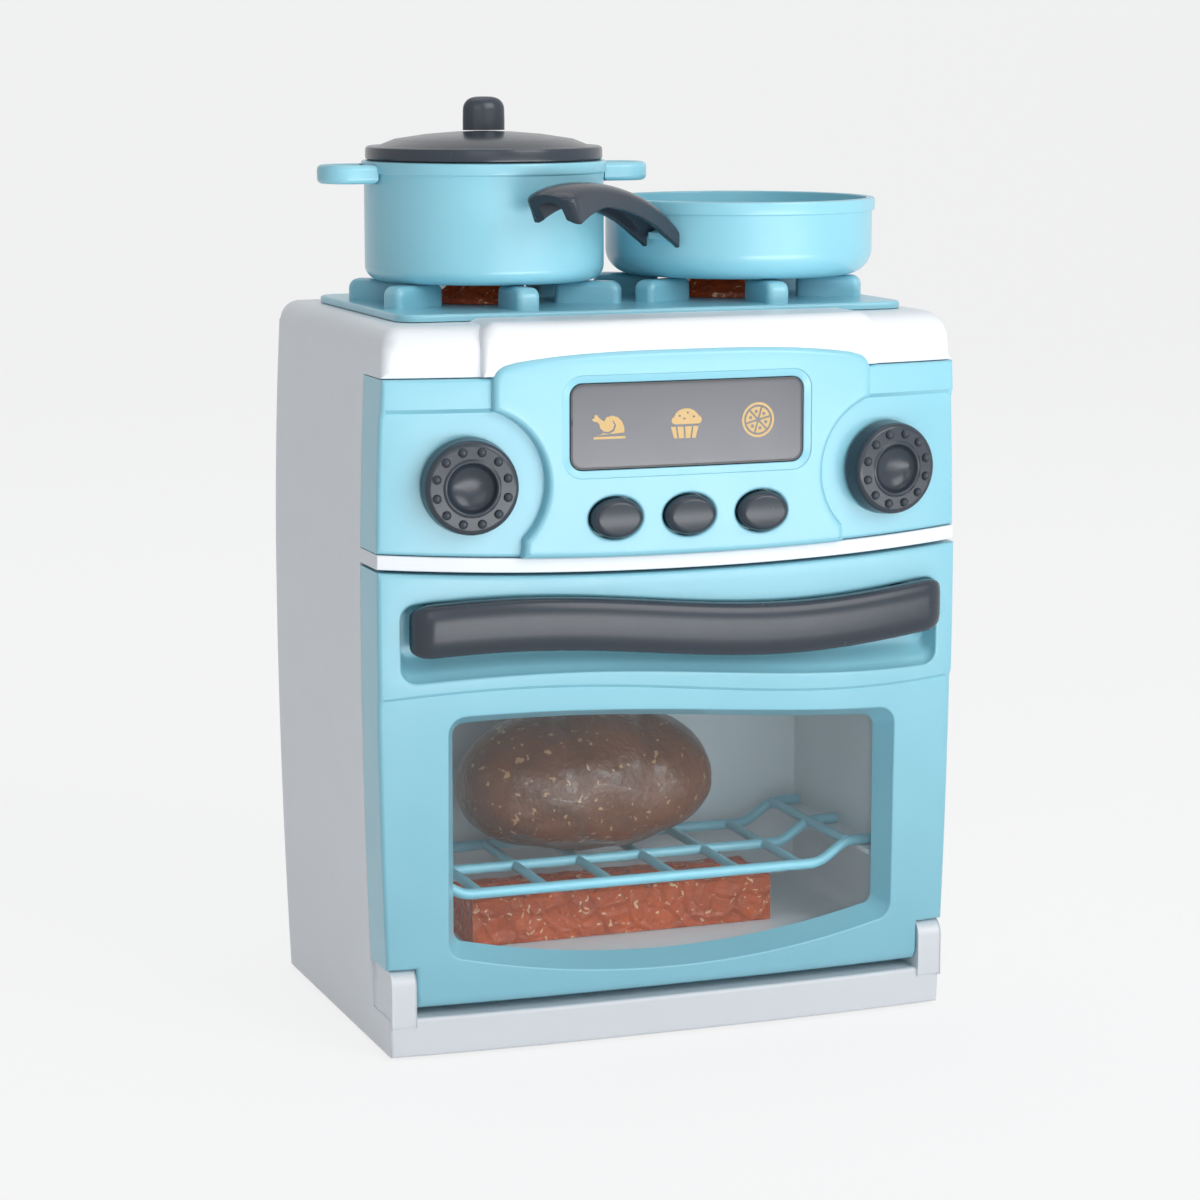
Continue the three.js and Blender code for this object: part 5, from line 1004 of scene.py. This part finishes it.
# Handle: a charcoal bar that follows the wave of the pocket. It is thick and rounded, its two
# ends are blunt, and two feet under it are screwed to the pocket's floor from behind.
BAR_LEFT, BAR_RIGHT, BAR_END, BAR_TALL, BAR_DEEP = -95.2, 96.8, 7.0, 9.0, 4.0
BAR_OUT, BAR_DROP, BAR_LEVEL, FOOT_X = 5.0, 0.8, 146.7, 85.5
end_turns = np.linspace(0.12, math.pi / 2, 9)
stations = [(BAR_LEFT + BAR_END * (1 - math.cos(t)), math.sin(t)) for t in end_turns]
stations += [(x, 1.0) for x in np.linspace(BAR_LEFT + BAR_END, BAR_RIGHT - BAR_END, 60)[1:-1]]
stations += [(BAR_RIGHT - BAR_END * (1 - math.cos(t)), math.sin(t)) for t in end_turns[::-1]]
section = circle(48)


def squared(values, power):
    """Swells a circle's sines or cosines, so that the section comes near a rounded box."""
    return np.sign(values) * np.abs(values) ** power


loops = []
for x, size in stations:
    tall = BAR_TALL * (0.62 + 0.38 * size)
    deep = BAR_DEEP * (0.35 + 0.65 * size)
    middle = front_face(x, BAR_LEVEL) - BAR_OUT + 1.6 * (1 - size)
    y = middle + deep * squared(np.cos(section), 0.62)
    z = handle_line(x) - BAR_DROP + tall * squared(np.sin(section), 0.58)
    loops.append(np.column_stack([np.full(len(section), x), y, z]))
bar = Mould().loft(loops)
for side in (-1, 1):
    near = float(front_face(side * (FOOT_X - 4.5), BAR_LEVEL)) + POCKET_DEEP - GAP
    stand = Mould().slab(rounded_box(-4.5, 4.5, -6.3, 6.3, 2.6), 0, 8.5, 0.4)
    bar.join(stand.placed(TO_FRONT, (side * FOOT_X, near, float(handle_line(side * FOOT_X)))))
bar.piece("handle_bar", charcoal, "door", "charcoal_plastic", "door_handle", crease=55)


# Oven liner: a pale grey box let into the mouth of the cabinet, with a ledge on either side
# that the rack rides on.
LINER_FRONT, LINER_BACK, LINER_WALL = -50.0, 38.0, 1.6
liner_grey = plastic("liner_moulding", (226, 231, 235), gloss=0.42, blotch=0.04, grain=0.02)
liner_loop = rounded_box(-91, 91, 24.5, 158, 7.0)
inner_loop = offset(liner_loop, LINER_WALL)
liner_rings = [at_depth(inner_loop, LINER_BACK - LINER_WALL)]
liner_rings += [at_depth(inner_loop, LINER_FRONT + 0.3)]
liner_rings += [at_depth(offset(liner_loop, out), LINER_FRONT) for out in (1.3, 0.3)]
liner_rings += [at_depth(liner_loop, LINER_FRONT + 0.3), at_depth(liner_loop, LINER_BACK)]
liner = Mould().band(liner_rings)
liner.fill([inner_loop], sheet(flat(LINER_BACK - LINER_WALL)), 12.0)
liner.fill([liner_loop], sheet(flat(LINER_BACK)), 12.0)
for side in (-1, 1):
    near, far = sorted((side * 80.4, side * 90.2))
    ledge = rounded_box(near, far, LINER_FRONT, 36.5, 0.8, 3, 12.0)
    liner.join(Mould().slab(ledge, 53.2, 55.2, 0.4))
liner.piece("oven_box", liner_grey, "cabinet", "liner_plastic", "oven_liner")


# Rack: teal wires moulded in one piece. Three bars run across and bend up to the ledges, with
# six wires between them and a rail at each end.
RACK_SEAT, RACK_FLAT = 57.4, 50.0
RACK_FRONT, RACK_MIDDLE, RACK_BACK = -43.0, -9.0, 25.0
BAR_THICK, WIRE_THICK = 1.9, 1.7


def eased(points, radius):
    """A path whose corners are rounded off."""
    points = [np.array(p, float) for p in points]
    path = [points[0]]
    for before, corner, after in zip(points, points[1:], points[2:]):
        start = corner + unit(before - corner) * min(radius, np.linalg.norm(before - corner) / 2)
        end = corner + unit(after - corner) * min(radius, np.linalg.norm(after - corner) / 2)
        for t in np.linspace(0, 1, 6):
            path.append(start * (1 - t) ** 2 + corner * 2 * t * (1 - t) + end * t * t)
    path.append(points[-1])
    return path


rack = Mould()
across = [(-86.5, RACK_SEAT), (-80.0, RACK_SEAT), (-69.5, RACK_FLAT)]
across += [(64.5, RACK_FLAT), (75.0, RACK_SEAT), (86.5, RACK_SEAT)]
for y in (RACK_FRONT, RACK_MIDDLE, RACK_BACK):
    rack.swept(eased([(x, y, z) for x, z in across], 4.0), BAR_THICK)
wires = [(x, RACK_FLAT) for x in (-62.5, -38.5, -14.5, 9.5, 33.5, 57.5)]
for x, z in (*wires, (-80.0, RACK_SEAT), (75.0, RACK_SEAT)):
    rack.swept([(x, RACK_FRONT, z), (x, RACK_BACK, z)], WIRE_THICK)
rack.piece("rack_wires", teal, "rack", "teal_plastic", "oven_rack", crease=60)


# Embers: a block of translucent orange plastic with a crumpled skin, clipped in the floor of the
# liner over its lamp, with moulded folds, soft darker patches and small flecks of painted glint.
ember_glow = Marks("ember_glow", {})
fold = ember_glow.group.nodes.new("ShaderNodeTexVoronoi")
fold.feature = "DISTANCE_TO_EDGE"
fold.inputs["Scale"].default_value = 110
ember_glow.put(ember_glow.where.outputs["Object"], fold.inputs["Vector"])
ridge = ember_glow.group.nodes.new("ShaderNodeMapRange")
ridge.inputs["From Max"].default_value = 0.16
ridge.inputs["To Min"].default_value = 1.0
ridge.inputs["To Max"].default_value = 0.0
ember_glow.put(fold.outputs["Distance"], ridge.inputs["Value"])
# The pale flecks are painted glints; the darker patches vary at random.
ember_glow.mottle((126, 44, 12), (95, 5.0, 1.0), 0.9, (236, 196, 156), (230, 2.0, 2.0), 0.8)
ember_glow.roughen(0.1, 70, 0.2)
folds = ember_glow.work("MULTIPLY", ridge.outputs["Result"], 0.5)
ember_glow.bump(ember_glow.work("ADD", folds, ember_glow.noise(120, 5.0, 2.0)), 0.0028, 0.7)


# A translucent plastic with a faint painted glow in its own colour; the part is no lamp.
def painted_glow_plastic(name, colour, clearness, glow):
    material, nodes, links, shader = marked(name, ember_glow, colour)
    shader.inputs["Transmission Weight"].default_value = clearness
    shader.inputs["IOR"].default_value = 1.45
    shade = shader.inputs["Base Color"].links[0].from_socket
    links.new(shade, shader.inputs["Emission Color"])
    shader.inputs["Emission Strength"].default_value = glow
    return material


# The embers and the burner crowns both glow with painted light, more weakly on the crowns.
flame = painted_glow_plastic("flame_plastic_embers", (216, 92, 30), 0.15, 0.1)
copper = painted_glow_plastic("flame_plastic_burner", (196, 96, 52), 0.3, 0.05)

rng = np.random.default_rng(7)
lumps = [(rng.uniform(0.12, 0.5, 2), rng.uniform(0, 6.3)) for _ in range(14)]


def crumple(a, b):
    return sum(np.sin(k[0] * a + k[1] * b + p) for k, p in lumps) / len(lumps)


EMBER_FRONT, EMBER_BACK, EMBER_LOW, EMBER_TOP = -27.0, 5.0, 26.4, 42.9
FOLD, TOP_FOLD = 0.55, 1.1
rows = []
for x in np.linspace(-60, 53, 72):
    up = np.linspace(EMBER_LOW, 42.0, 12)
    over = np.linspace(EMBER_FRONT, EMBER_BACK, 22)[1:-1]
    line = [(x, EMBER_FRONT + FOLD * (1 + crumple(x * 1.3, z * 2.1)), z) for z in up]
    line += [(x, y, EMBER_TOP + TOP_FOLD * crumple(x * 1.4, y * 1.7)) for y in over]
    line += [(x, EMBER_BACK - FOLD * (1 + crumple(x * 1.3 + 40, z * 2.1)), z) for z in up[::-1]]
    rows.append(np.array(line))
bed = Mould().loft(rows)
bed.piece("ember_bed", flame, "cabinet", "flame_plastic", "ember_block", crease=30)


# Hob: a teal tray with rounded rims on the top of the cabinet. Six rounded fins stand round each
# burner and carry the pots.
BURNER_XS, TRAY_TOP = (-45.5, 45.5), 250.2
FINS, FIN_WIDE, FIN_ROUND = 6, 4.0, 2.2
tray_holes = [ellipse(x, 0, 3.8, 3.8, 32) for x in BURNER_XS]
tray = rounded_box(-92, 92, -52, 52, 8.0)
hob = Mould().slab(tray, 247.8, TRAY_TOP, 0.9, tray_holes, under=False)
fin_ends = [arc(44.6, 4.1, 3.4, 0, 90, 8), arc(27.6, 4.9, 2.6, 90, 180, 7)]
fin_profile = spaced(np.concatenate([[(25.0, -2.3), (48.0, -2.3)], *fin_ends]), 2.5)
for x in BURNER_XS:
    for i in range(FINS):
        fin = Mould().slab(fin_profile, -FIN_WIDE, FIN_WIDE, FIN_ROUND).placed(TO_FRONT)
        turn = math.radians((i + 0.5) * 360 / FINS)
        hob.join(fin.placed(about_upright(turn), (x, 0, TRAY_TOP)))
hob.piece("hob_moulding", teal, "cabinet", "teal_plastic", "hob_tray")


# Burners: crowns of translucent flame-coloured plastic, pierced by eight arches, that stand in
# the middle of the fins over their lamps, with a faint painted glow.
ARCHES, ARCH_IN, ARCH_DOWN, CROWN_SEAT = 8, 1.7, 0.8, 250.5
crown_profile = [(14.6, 0.0, 0), (19.0, 0.0, 0), (19.0, 1.6, 0), (17.4, 2.6, 1), (14.8, 4.4, 1)]
crown_profile += [(12.6, 6.6, 1), (11.2, 7.2, 1), (9.0, 7.2, 1), (9.0, 6.4, 1), (11.4, 3.0, 1)]
crown_profile += [(13.4, 1.2, 0), (14.6, 0.0, 0)]
turns = circle(96)
flicker = 0.5 - 0.5 * np.cos(ARCHES * turns)
rings = []
for radius, height, arched in crown_profile:
    drop = ARCH_DOWN * arched * flicker * (height > 3)
    rings.append(polar(radius - ARCH_IN * arched * flicker, turns, height - drop))
for x, label in zip(BURNER_XS, ("left", "right")):
    crown = Mould().band(rings).placed(AS_IS, (x, 0, CROWN_SEAT))
    crown.piece(f"burner_crown_{label}", copper, "cabinet", "flame_plastic", f"burner_{label}")


# Pot: a turned teal body with a banded rim and a flat loop on either side.
POT_X = sum(corner.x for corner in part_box("lid_knob")) / MM / 2
PAN_X, HOB_SEAT = 50.0, 258.0
LOOP_X, LOOP_OUT, LOOP_IN = 49.5, 10.0, 6.0


def cookware(radius, height, corner, band, foot, steps):
    """The profile of a turned pan: a soft foot, a wall 2 mm thick and a band below the rim."""
    low, middle = height - band, radius - corner
    profile = [(0, 0), (foot, 0), *arc(middle, corner, corner, -90, 0, steps)[1:], (radius, low)]
    for out, up in ((0.2, 0.3), (0.7, 0.4), (1.0, 0.8)):
        profile.append((radius + out, low + up))
    for out, up in ((1.0, -0.8), (0.7, -0.2), (0.1, 0), (-1.4, 0), (-1.9, -0.2), (-2.0, -0.8)):
        profile.append((radius + out, height + up))
    within = arc(middle, corner, corner - 2.0, 0, -90, steps - 2)
    return [*profile, (radius - 2.0, corner + 1.0), *within, (0, 2.0)]


pot = Mould().turned(cookware(41.5, 41.0, 5.0, 4.4, 36.0, 10), 128)
ear_arc = arc(LOOP_X, 0, LOOP_OUT, -90, 90, 24)
ear_outline = np.concatenate([[(41.0, -LOOP_OUT)], ear_arc, [(41.0, LOOP_OUT)]])
hole_arc = arc(LOOP_X, 0, LOOP_IN, -90, 90, 20)
ear_hole = spaced(np.concatenate([[(42.9, -LOOP_IN)], hole_arc, [(42.9, LOOP_IN)]]), 2.0)
for side in (-1, 1):
    loop = Mould().slab(spaced(ear_outline, 2.0), 33.5, 40.0, 1.8, [ear_hole], step=3.0)
    pot.join(loop.placed(((side, 0, 0), (0, side, 0), (0, 0, 1))))
pot.placed(AS_IS, (POT_X, 0, HOB_SEAT))
pot.piece("pot_moulding", teal, "pot", "teal_plastic", "pot_body")


# Lid and its knob: a charcoal disc with a low dome inside a rim band, and an upright tab with a
# rounded top that plugs into it.
LID_SEAT, KNOB_SEAT, KNOB_HIGH = 299.3, 309.2, 11.5
lid_profile = [(0, 7.8), (20.5, 6.6), (36.9, 2.8), (37.1, -2.6), (37.5, -3.0), (38.5, -3.0)]
lid_profile += [(38.9, -2.6), (38.9, 0), (40.4, 0), (40.9, 0.3), (41.0, 0.9), (41.0, 3.4)]
lid_profile += [(40.7, 4.2), (39.9, 4.6), (38.8, 4.5), (37.6, 4.35), (36.6, 4.7), (31.0, 6.9)]
lid_profile += [(20.5, 8.5), (10.2, 9.35), (4, 9.58), (0, 9.6)]
lid = Mould().turned(lid_profile, 128).placed(AS_IS, (POT_X, 0, LID_SEAT))
lid.piece("lid_disc", charcoal, "lid", "charcoal_plastic", "lid_shell")
knob_steps = [(0, 1.0), (0.3, 1.0), (0.6, 0.99)]
for turn in np.linspace(0.15, 1.56, 12):
    knob_steps.append((0.6 + 0.4 * math.sin(turn), 0.99 * math.cos(turn) ** 0.6))
loops = []
for rise, size in knob_steps:
    loops.append(plan(KNOB_HIGH * rise)(*ellipse(0, 0, 7.5 * size, 4.5 * size, 48).T))
knob = Mould().loft(loops).placed(AS_IS, (POT_X, 0, KNOB_SEAT))
knob.piece("lid_tab", charcoal, "lid", "charcoal_plastic", "lid_knob", crease=60)


# Pan and its handle: a shallower turned body with a soft foot, and an arched charcoal bar that is
# hollow underneath and pushed over a lug on the rim.
ARM_CURVE = np.array([(48.8, 19.5), (64.0, 34.0), (104.0, 39.5), (115.5, 31.5)])
ARM_START = 0.16
ARM_EDGE = 0.4
pan_rows = about_upright(math.radians(214))
pan = Mould().turned(cookware(47.5, 27.0, 9.0, 4.9, 38.5, 12), 128)
pan.join(Mould().slab(rounded_box(46.5, 50.6, -4.5, 4.5, 1.0, 3), 14.05, 16.5, 0.4))
pan.placed(pan_rows, (PAN_X, 0, HOB_SEAT))
pan.piece("pan_moulding", teal, "pan", "teal_plastic", "pan_body")


def arm_section(wide, deep, wall):
    """An arch with straight legs, open below."""
    inner, low = wide - wall, ARM_EDGE - deep
    arch = np.radians(np.linspace(0, 180, 17))
    outside = np.column_stack([wide * np.cos(arch), 3.6 * (np.sin(arch) - 1)])
    within = np.column_stack([inner * np.cos(arch), 3.4 * (np.sin(arch) - 1) - wall])[::-1]
    left = [(-wide, -6.0), (-wide, low), (ARM_EDGE - wide, -deep), (-inner - ARM_EDGE, -deep)]
    left += [(-inner, low), (-inner, -6.5)]
    right = [(inner, -6.5), (inner, low), (inner + ARM_EDGE, -deep), (wide - ARM_EDGE, -deep)]
    return np.concatenate([[(wide, low), (wide, -6.0)], outside, left, within, right])


loops = []
for t in np.linspace(0, 1, 40):
    u = 1 - t
    spot = np.array([u**3, 3 * t * u * u, 3 * t * t * u, t**3]) @ ARM_CURVE
    slope = np.array([-u * u, u * u - 2 * t * u, 2 * t * u - t * t, t * t]) @ ARM_CURVE
    share = smooth(t / ARM_START)
    along = unit(unit(slope) * share + np.array([1.0, 0.0]) * (1 - share))
    end = min(1.0, u * 12 + 0.02)
    rounded = math.sqrt(end * (2 - end))
    wide = 9.0 * (0.88 + 0.24 * t * t) * (0.7 + 0.3 * rounded)
    deep = 8.2 + 3.8 * smooth((t - 0.55) / 0.35) - 2.0 * (1 - rounded)
    across, up = arm_section(wide, deep, 2.2 + 1.2 * (1 - rounded)).T
    loops.append(np.column_stack([spot[0] - along[1] * up, across, spot[1] + along[0] * up]))
arm = Mould().loft(loops).placed(pan_rows, (PAN_X, 0, HOB_SEAT))
arm.piece("pan_arm", charcoal, "pan", "charcoal_plastic", "pan_handle", crease=45)


# Fried egg: a lobed white with the yolk standing on it, both glossy and faintly mottled.
EGG_SEAT, EGG_HALF, YOLK_SEAT, YOLK_HALF = 260.3, 22.0, 262.8, 8.5
egg_white = plastic(
    "egg_white_moulding", (238, 235, 226), coat=0.3, gloss=0.3, blotch=0.08, grain=0.1
)
egg_yolk = plastic("egg_yolk_moulding", (238, 158, 40), coat=0.5, gloss=0.24, blotch=0.16)
turns = circle(96)
lobes = EGG_HALF + 2.6 * (np.sin(3 * turns + 0.5) + 0.5 * np.sin(5 * turns + 2))
egg_steps = [(0.955, 0.0), (0.99, 0.3), (1.0, 0.8), (0.985, 1.4), (0.95, 1.8), (0.88, 2.05)]
egg_steps += [(0.7, 2.2), (0.4, 2.2), (0.05, 2.2)]
loops = [polar(lobes * size, turns, height) for size, height in egg_steps]
egg = Mould().loft(loops).placed(AS_IS, (PAN_X, 0, EGG_SEAT))
egg.piece("egg_white_disc", egg_white, "egg", "egg_white_plastic", "egg_white")
yolk_profile = [(0, 0), (8.1, 0), (YOLK_HALF, 0.5)]
for turn in np.linspace(0, math.pi / 2, 12):
    yolk_profile.append((YOLK_HALF * math.cos(turn), 1.0 + 4.0 * math.sin(turn)))
yolk = Mould().turned(yolk_profile, 64).placed(AS_IS, (PAN_X + 2.6, -2.6, YOLK_SEAT))
yolk.piece("egg_yolk_dome", egg_yolk, "egg", "egg_yolk_plastic", "egg_yolk")


# Roast: a plump brown joint with two creases across its back, mottled and flecked where it has
# caught, and flat where it lies on the rack.
ROAST_X, ROAST_Y, ROAST_SEAT, ROAST_UP = -8.0, 2.0, 52.2, 23.5
ROAST_LONG, ROAST_HALF, ROAST_BELLY = 47.0, 29.0, 24.5
CREASES, CREASE_DEEP, CREASE_WIDE = (-0.25, 0.38), 2.6, 0.07
roast_marks = Marks("roast_skin", {})
roast_marks.mottle((70, 38, 24), (26, 6.0, 0.8), 1.25, (206, 160, 120), (330, 2.0), 0.55)
roast_marks.roughen(0.2, 60, 0.3)
pores = roast_marks.work("ADD", roast_marks.noise(170, 5.0), roast_marks.noise(420, 2.0))
roast_marks.bump(pores, 0.0012, 0.5)
roast_skin, nodes, links, shader = marked("roast_skin", roast_marks, (150, 88, 56))
shader.inputs["Coat Weight"].default_value = 0.4
sines = np.sin(turns)
loops = []
for polar_turn in np.linspace(0.035, math.pi - 0.035, 72):
    along = -math.cos(polar_turn)
    girth = math.sin(polar_turn) ** 0.72
    round_it = (1 - 0.03 * along) * girth
    fold = sum(math.exp(-(((along - place) / CREASE_WIDE) ** 2)) for place in CREASES)
    fold = CREASE_DEEP * fold * np.maximum(0, sines) * girth
    lump = 0.5 * np.sin(turns * 3 + along * 5) + 0.35 * np.sin(turns * 7 - along * 11)
    bulge = lump * girth - 0.85 - fold
    y = ROAST_Y + (ROAST_HALF * round_it + bulge) * np.cos(turns)
    belly = np.where(sines > 0, ROAST_HALF, ROAST_BELLY)
    z = ROAST_SEAT + ROAST_UP + (belly * round_it + bulge) * sines
    x = np.full(len(turns), ROAST_X + ROAST_LONG * along)
    loops.append(np.column_stack([x, y, np.maximum(z, ROAST_SEAT)]))
roast = Mould().loft(loops)
roast.piece("roast_joint_skin", roast_skin, "roast_joint", "roast_plastic", "roast")


# Back: a white cover with rounded rims and a slotted grille, screwed on at its corners, with a
# separate door over the battery box.
GRILLE_X, GRILLE_Z, GRILLE_RADIUS, SLOT_PITCH = -66.0, 202.0, 14.0, 4.4
COVER_FRONT, COVER_BACK, DOOR_ROOM = 62.5, 65.0, 0.3
battery_outline = rounded_box(-26, 26, 169, 235, 4.8)
slots = []
for i in range(-2, 3):
    up = i * SLOT_PITCH
    half = math.sqrt(GRILLE_RADIUS**2 - up**2) - 2
    edges = (GRILLE_X - half, GRILLE_X + half, GRILLE_Z + up - 1, GRILLE_Z + up + 1)
    slots.append(rounded_box(*edges, 0.95, 4, 3.0))
back_holes = [offset(battery_outline, -DOOR_ROOM), *slots]
cover_outline = offset(cabinet_outline, 2.8)
back_cover = Mould().slab(cover_outline, COVER_FRONT, COVER_BACK, 0.5, back_holes, 9.0)
back_cover.placed(TO_BACK)
back_cover.piece("back_moulding", white, "cabinet", "white_plastic", "back_cover")
battery_door = Mould().slab(offset(battery_outline, DOOR_ROOM), 62.8, COVER_BACK, 0.5)
for z in (214, 218, 222):
    grip = rounded_box(-12, 12, z, z + 1.6, 0.7, 3, 3.0)
    battery_door.join(Mould().slab(grip, 64.6, COVER_BACK, 0.2))
battery_door.placed(TO_BACK)
battery_door.piece("battery_door", white, "cabinet", "white_plastic", "battery_cover")


# Small parts that show through the gaps keep the frame's own shapes and take their finish here:
# steel screws and pins, the board with its switches and lamps, cells, speaker, base and feet.
def finish_nodes(material, slot, *names):
    for name in names:
        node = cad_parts[name]
        node.data.materials.clear()
        node.data.materials.append(material)


def numbered(name, count):
    return [f"{name}_{i}" for i in range(1, count + 1)]


def both(name):
    return [f"{name}_left", f"{name}_right"]


steel = plastic("zinc_plate", (178, 182, 188), gloss=0.3, gloss_range=0.25, blotch=0.1, grain=0.1)
steel.node_tree.nodes["Principled BSDF"].inputs["Metallic"].default_value = 1.0
board = plastic("board_lacquer", (44, 104, 62), gloss=0.4, blotch=0.2, grain=0.2)
black = plastic("black_moulding", (34, 35, 38), gloss=0.42, blotch=0.08, grain=0.12)
lamp_clear = plastic(
    "lamp_epoxy_cast", (255, 206, 128), coat=0.5, gloss=0.16, blotch=0.06, grain=0.02
)
cell_wrap = plastic("cell_wrap", (52, 66, 78), coat=0.3, gloss=0.3, blotch=0.14, grain=0.05)
rubber = plastic("foot_rubber_cast", (146, 150, 152), gloss=0.7, blotch=0.08, grain=0.25)
screws = [*both("dial_screw"), *both("handle_screw"), *both("hinge_pin"), "battery_cover_screw"]
finish_nodes(steel, "screw_steel", *screws, *numbered("back_screw", 4))
finish_nodes(board, "board_laminate", "circuit_board")
finish_nodes(black, "black_plastic", *numbered("switch", 3), "speaker")
lamps = [*numbered("display_lamp", 3), "ember_lamp", *both("burner_lamp")]
finish_nodes(lamp_clear, "lamp_epoxy", *lamps)
finish_nodes(cell_wrap, "battery_metal", *numbered("battery", 3))
finish_nodes(white, "white_plastic", "battery_box", "base_plate")
finish_nodes(rubber, "foot_rubber", *numbered("foot", 4))
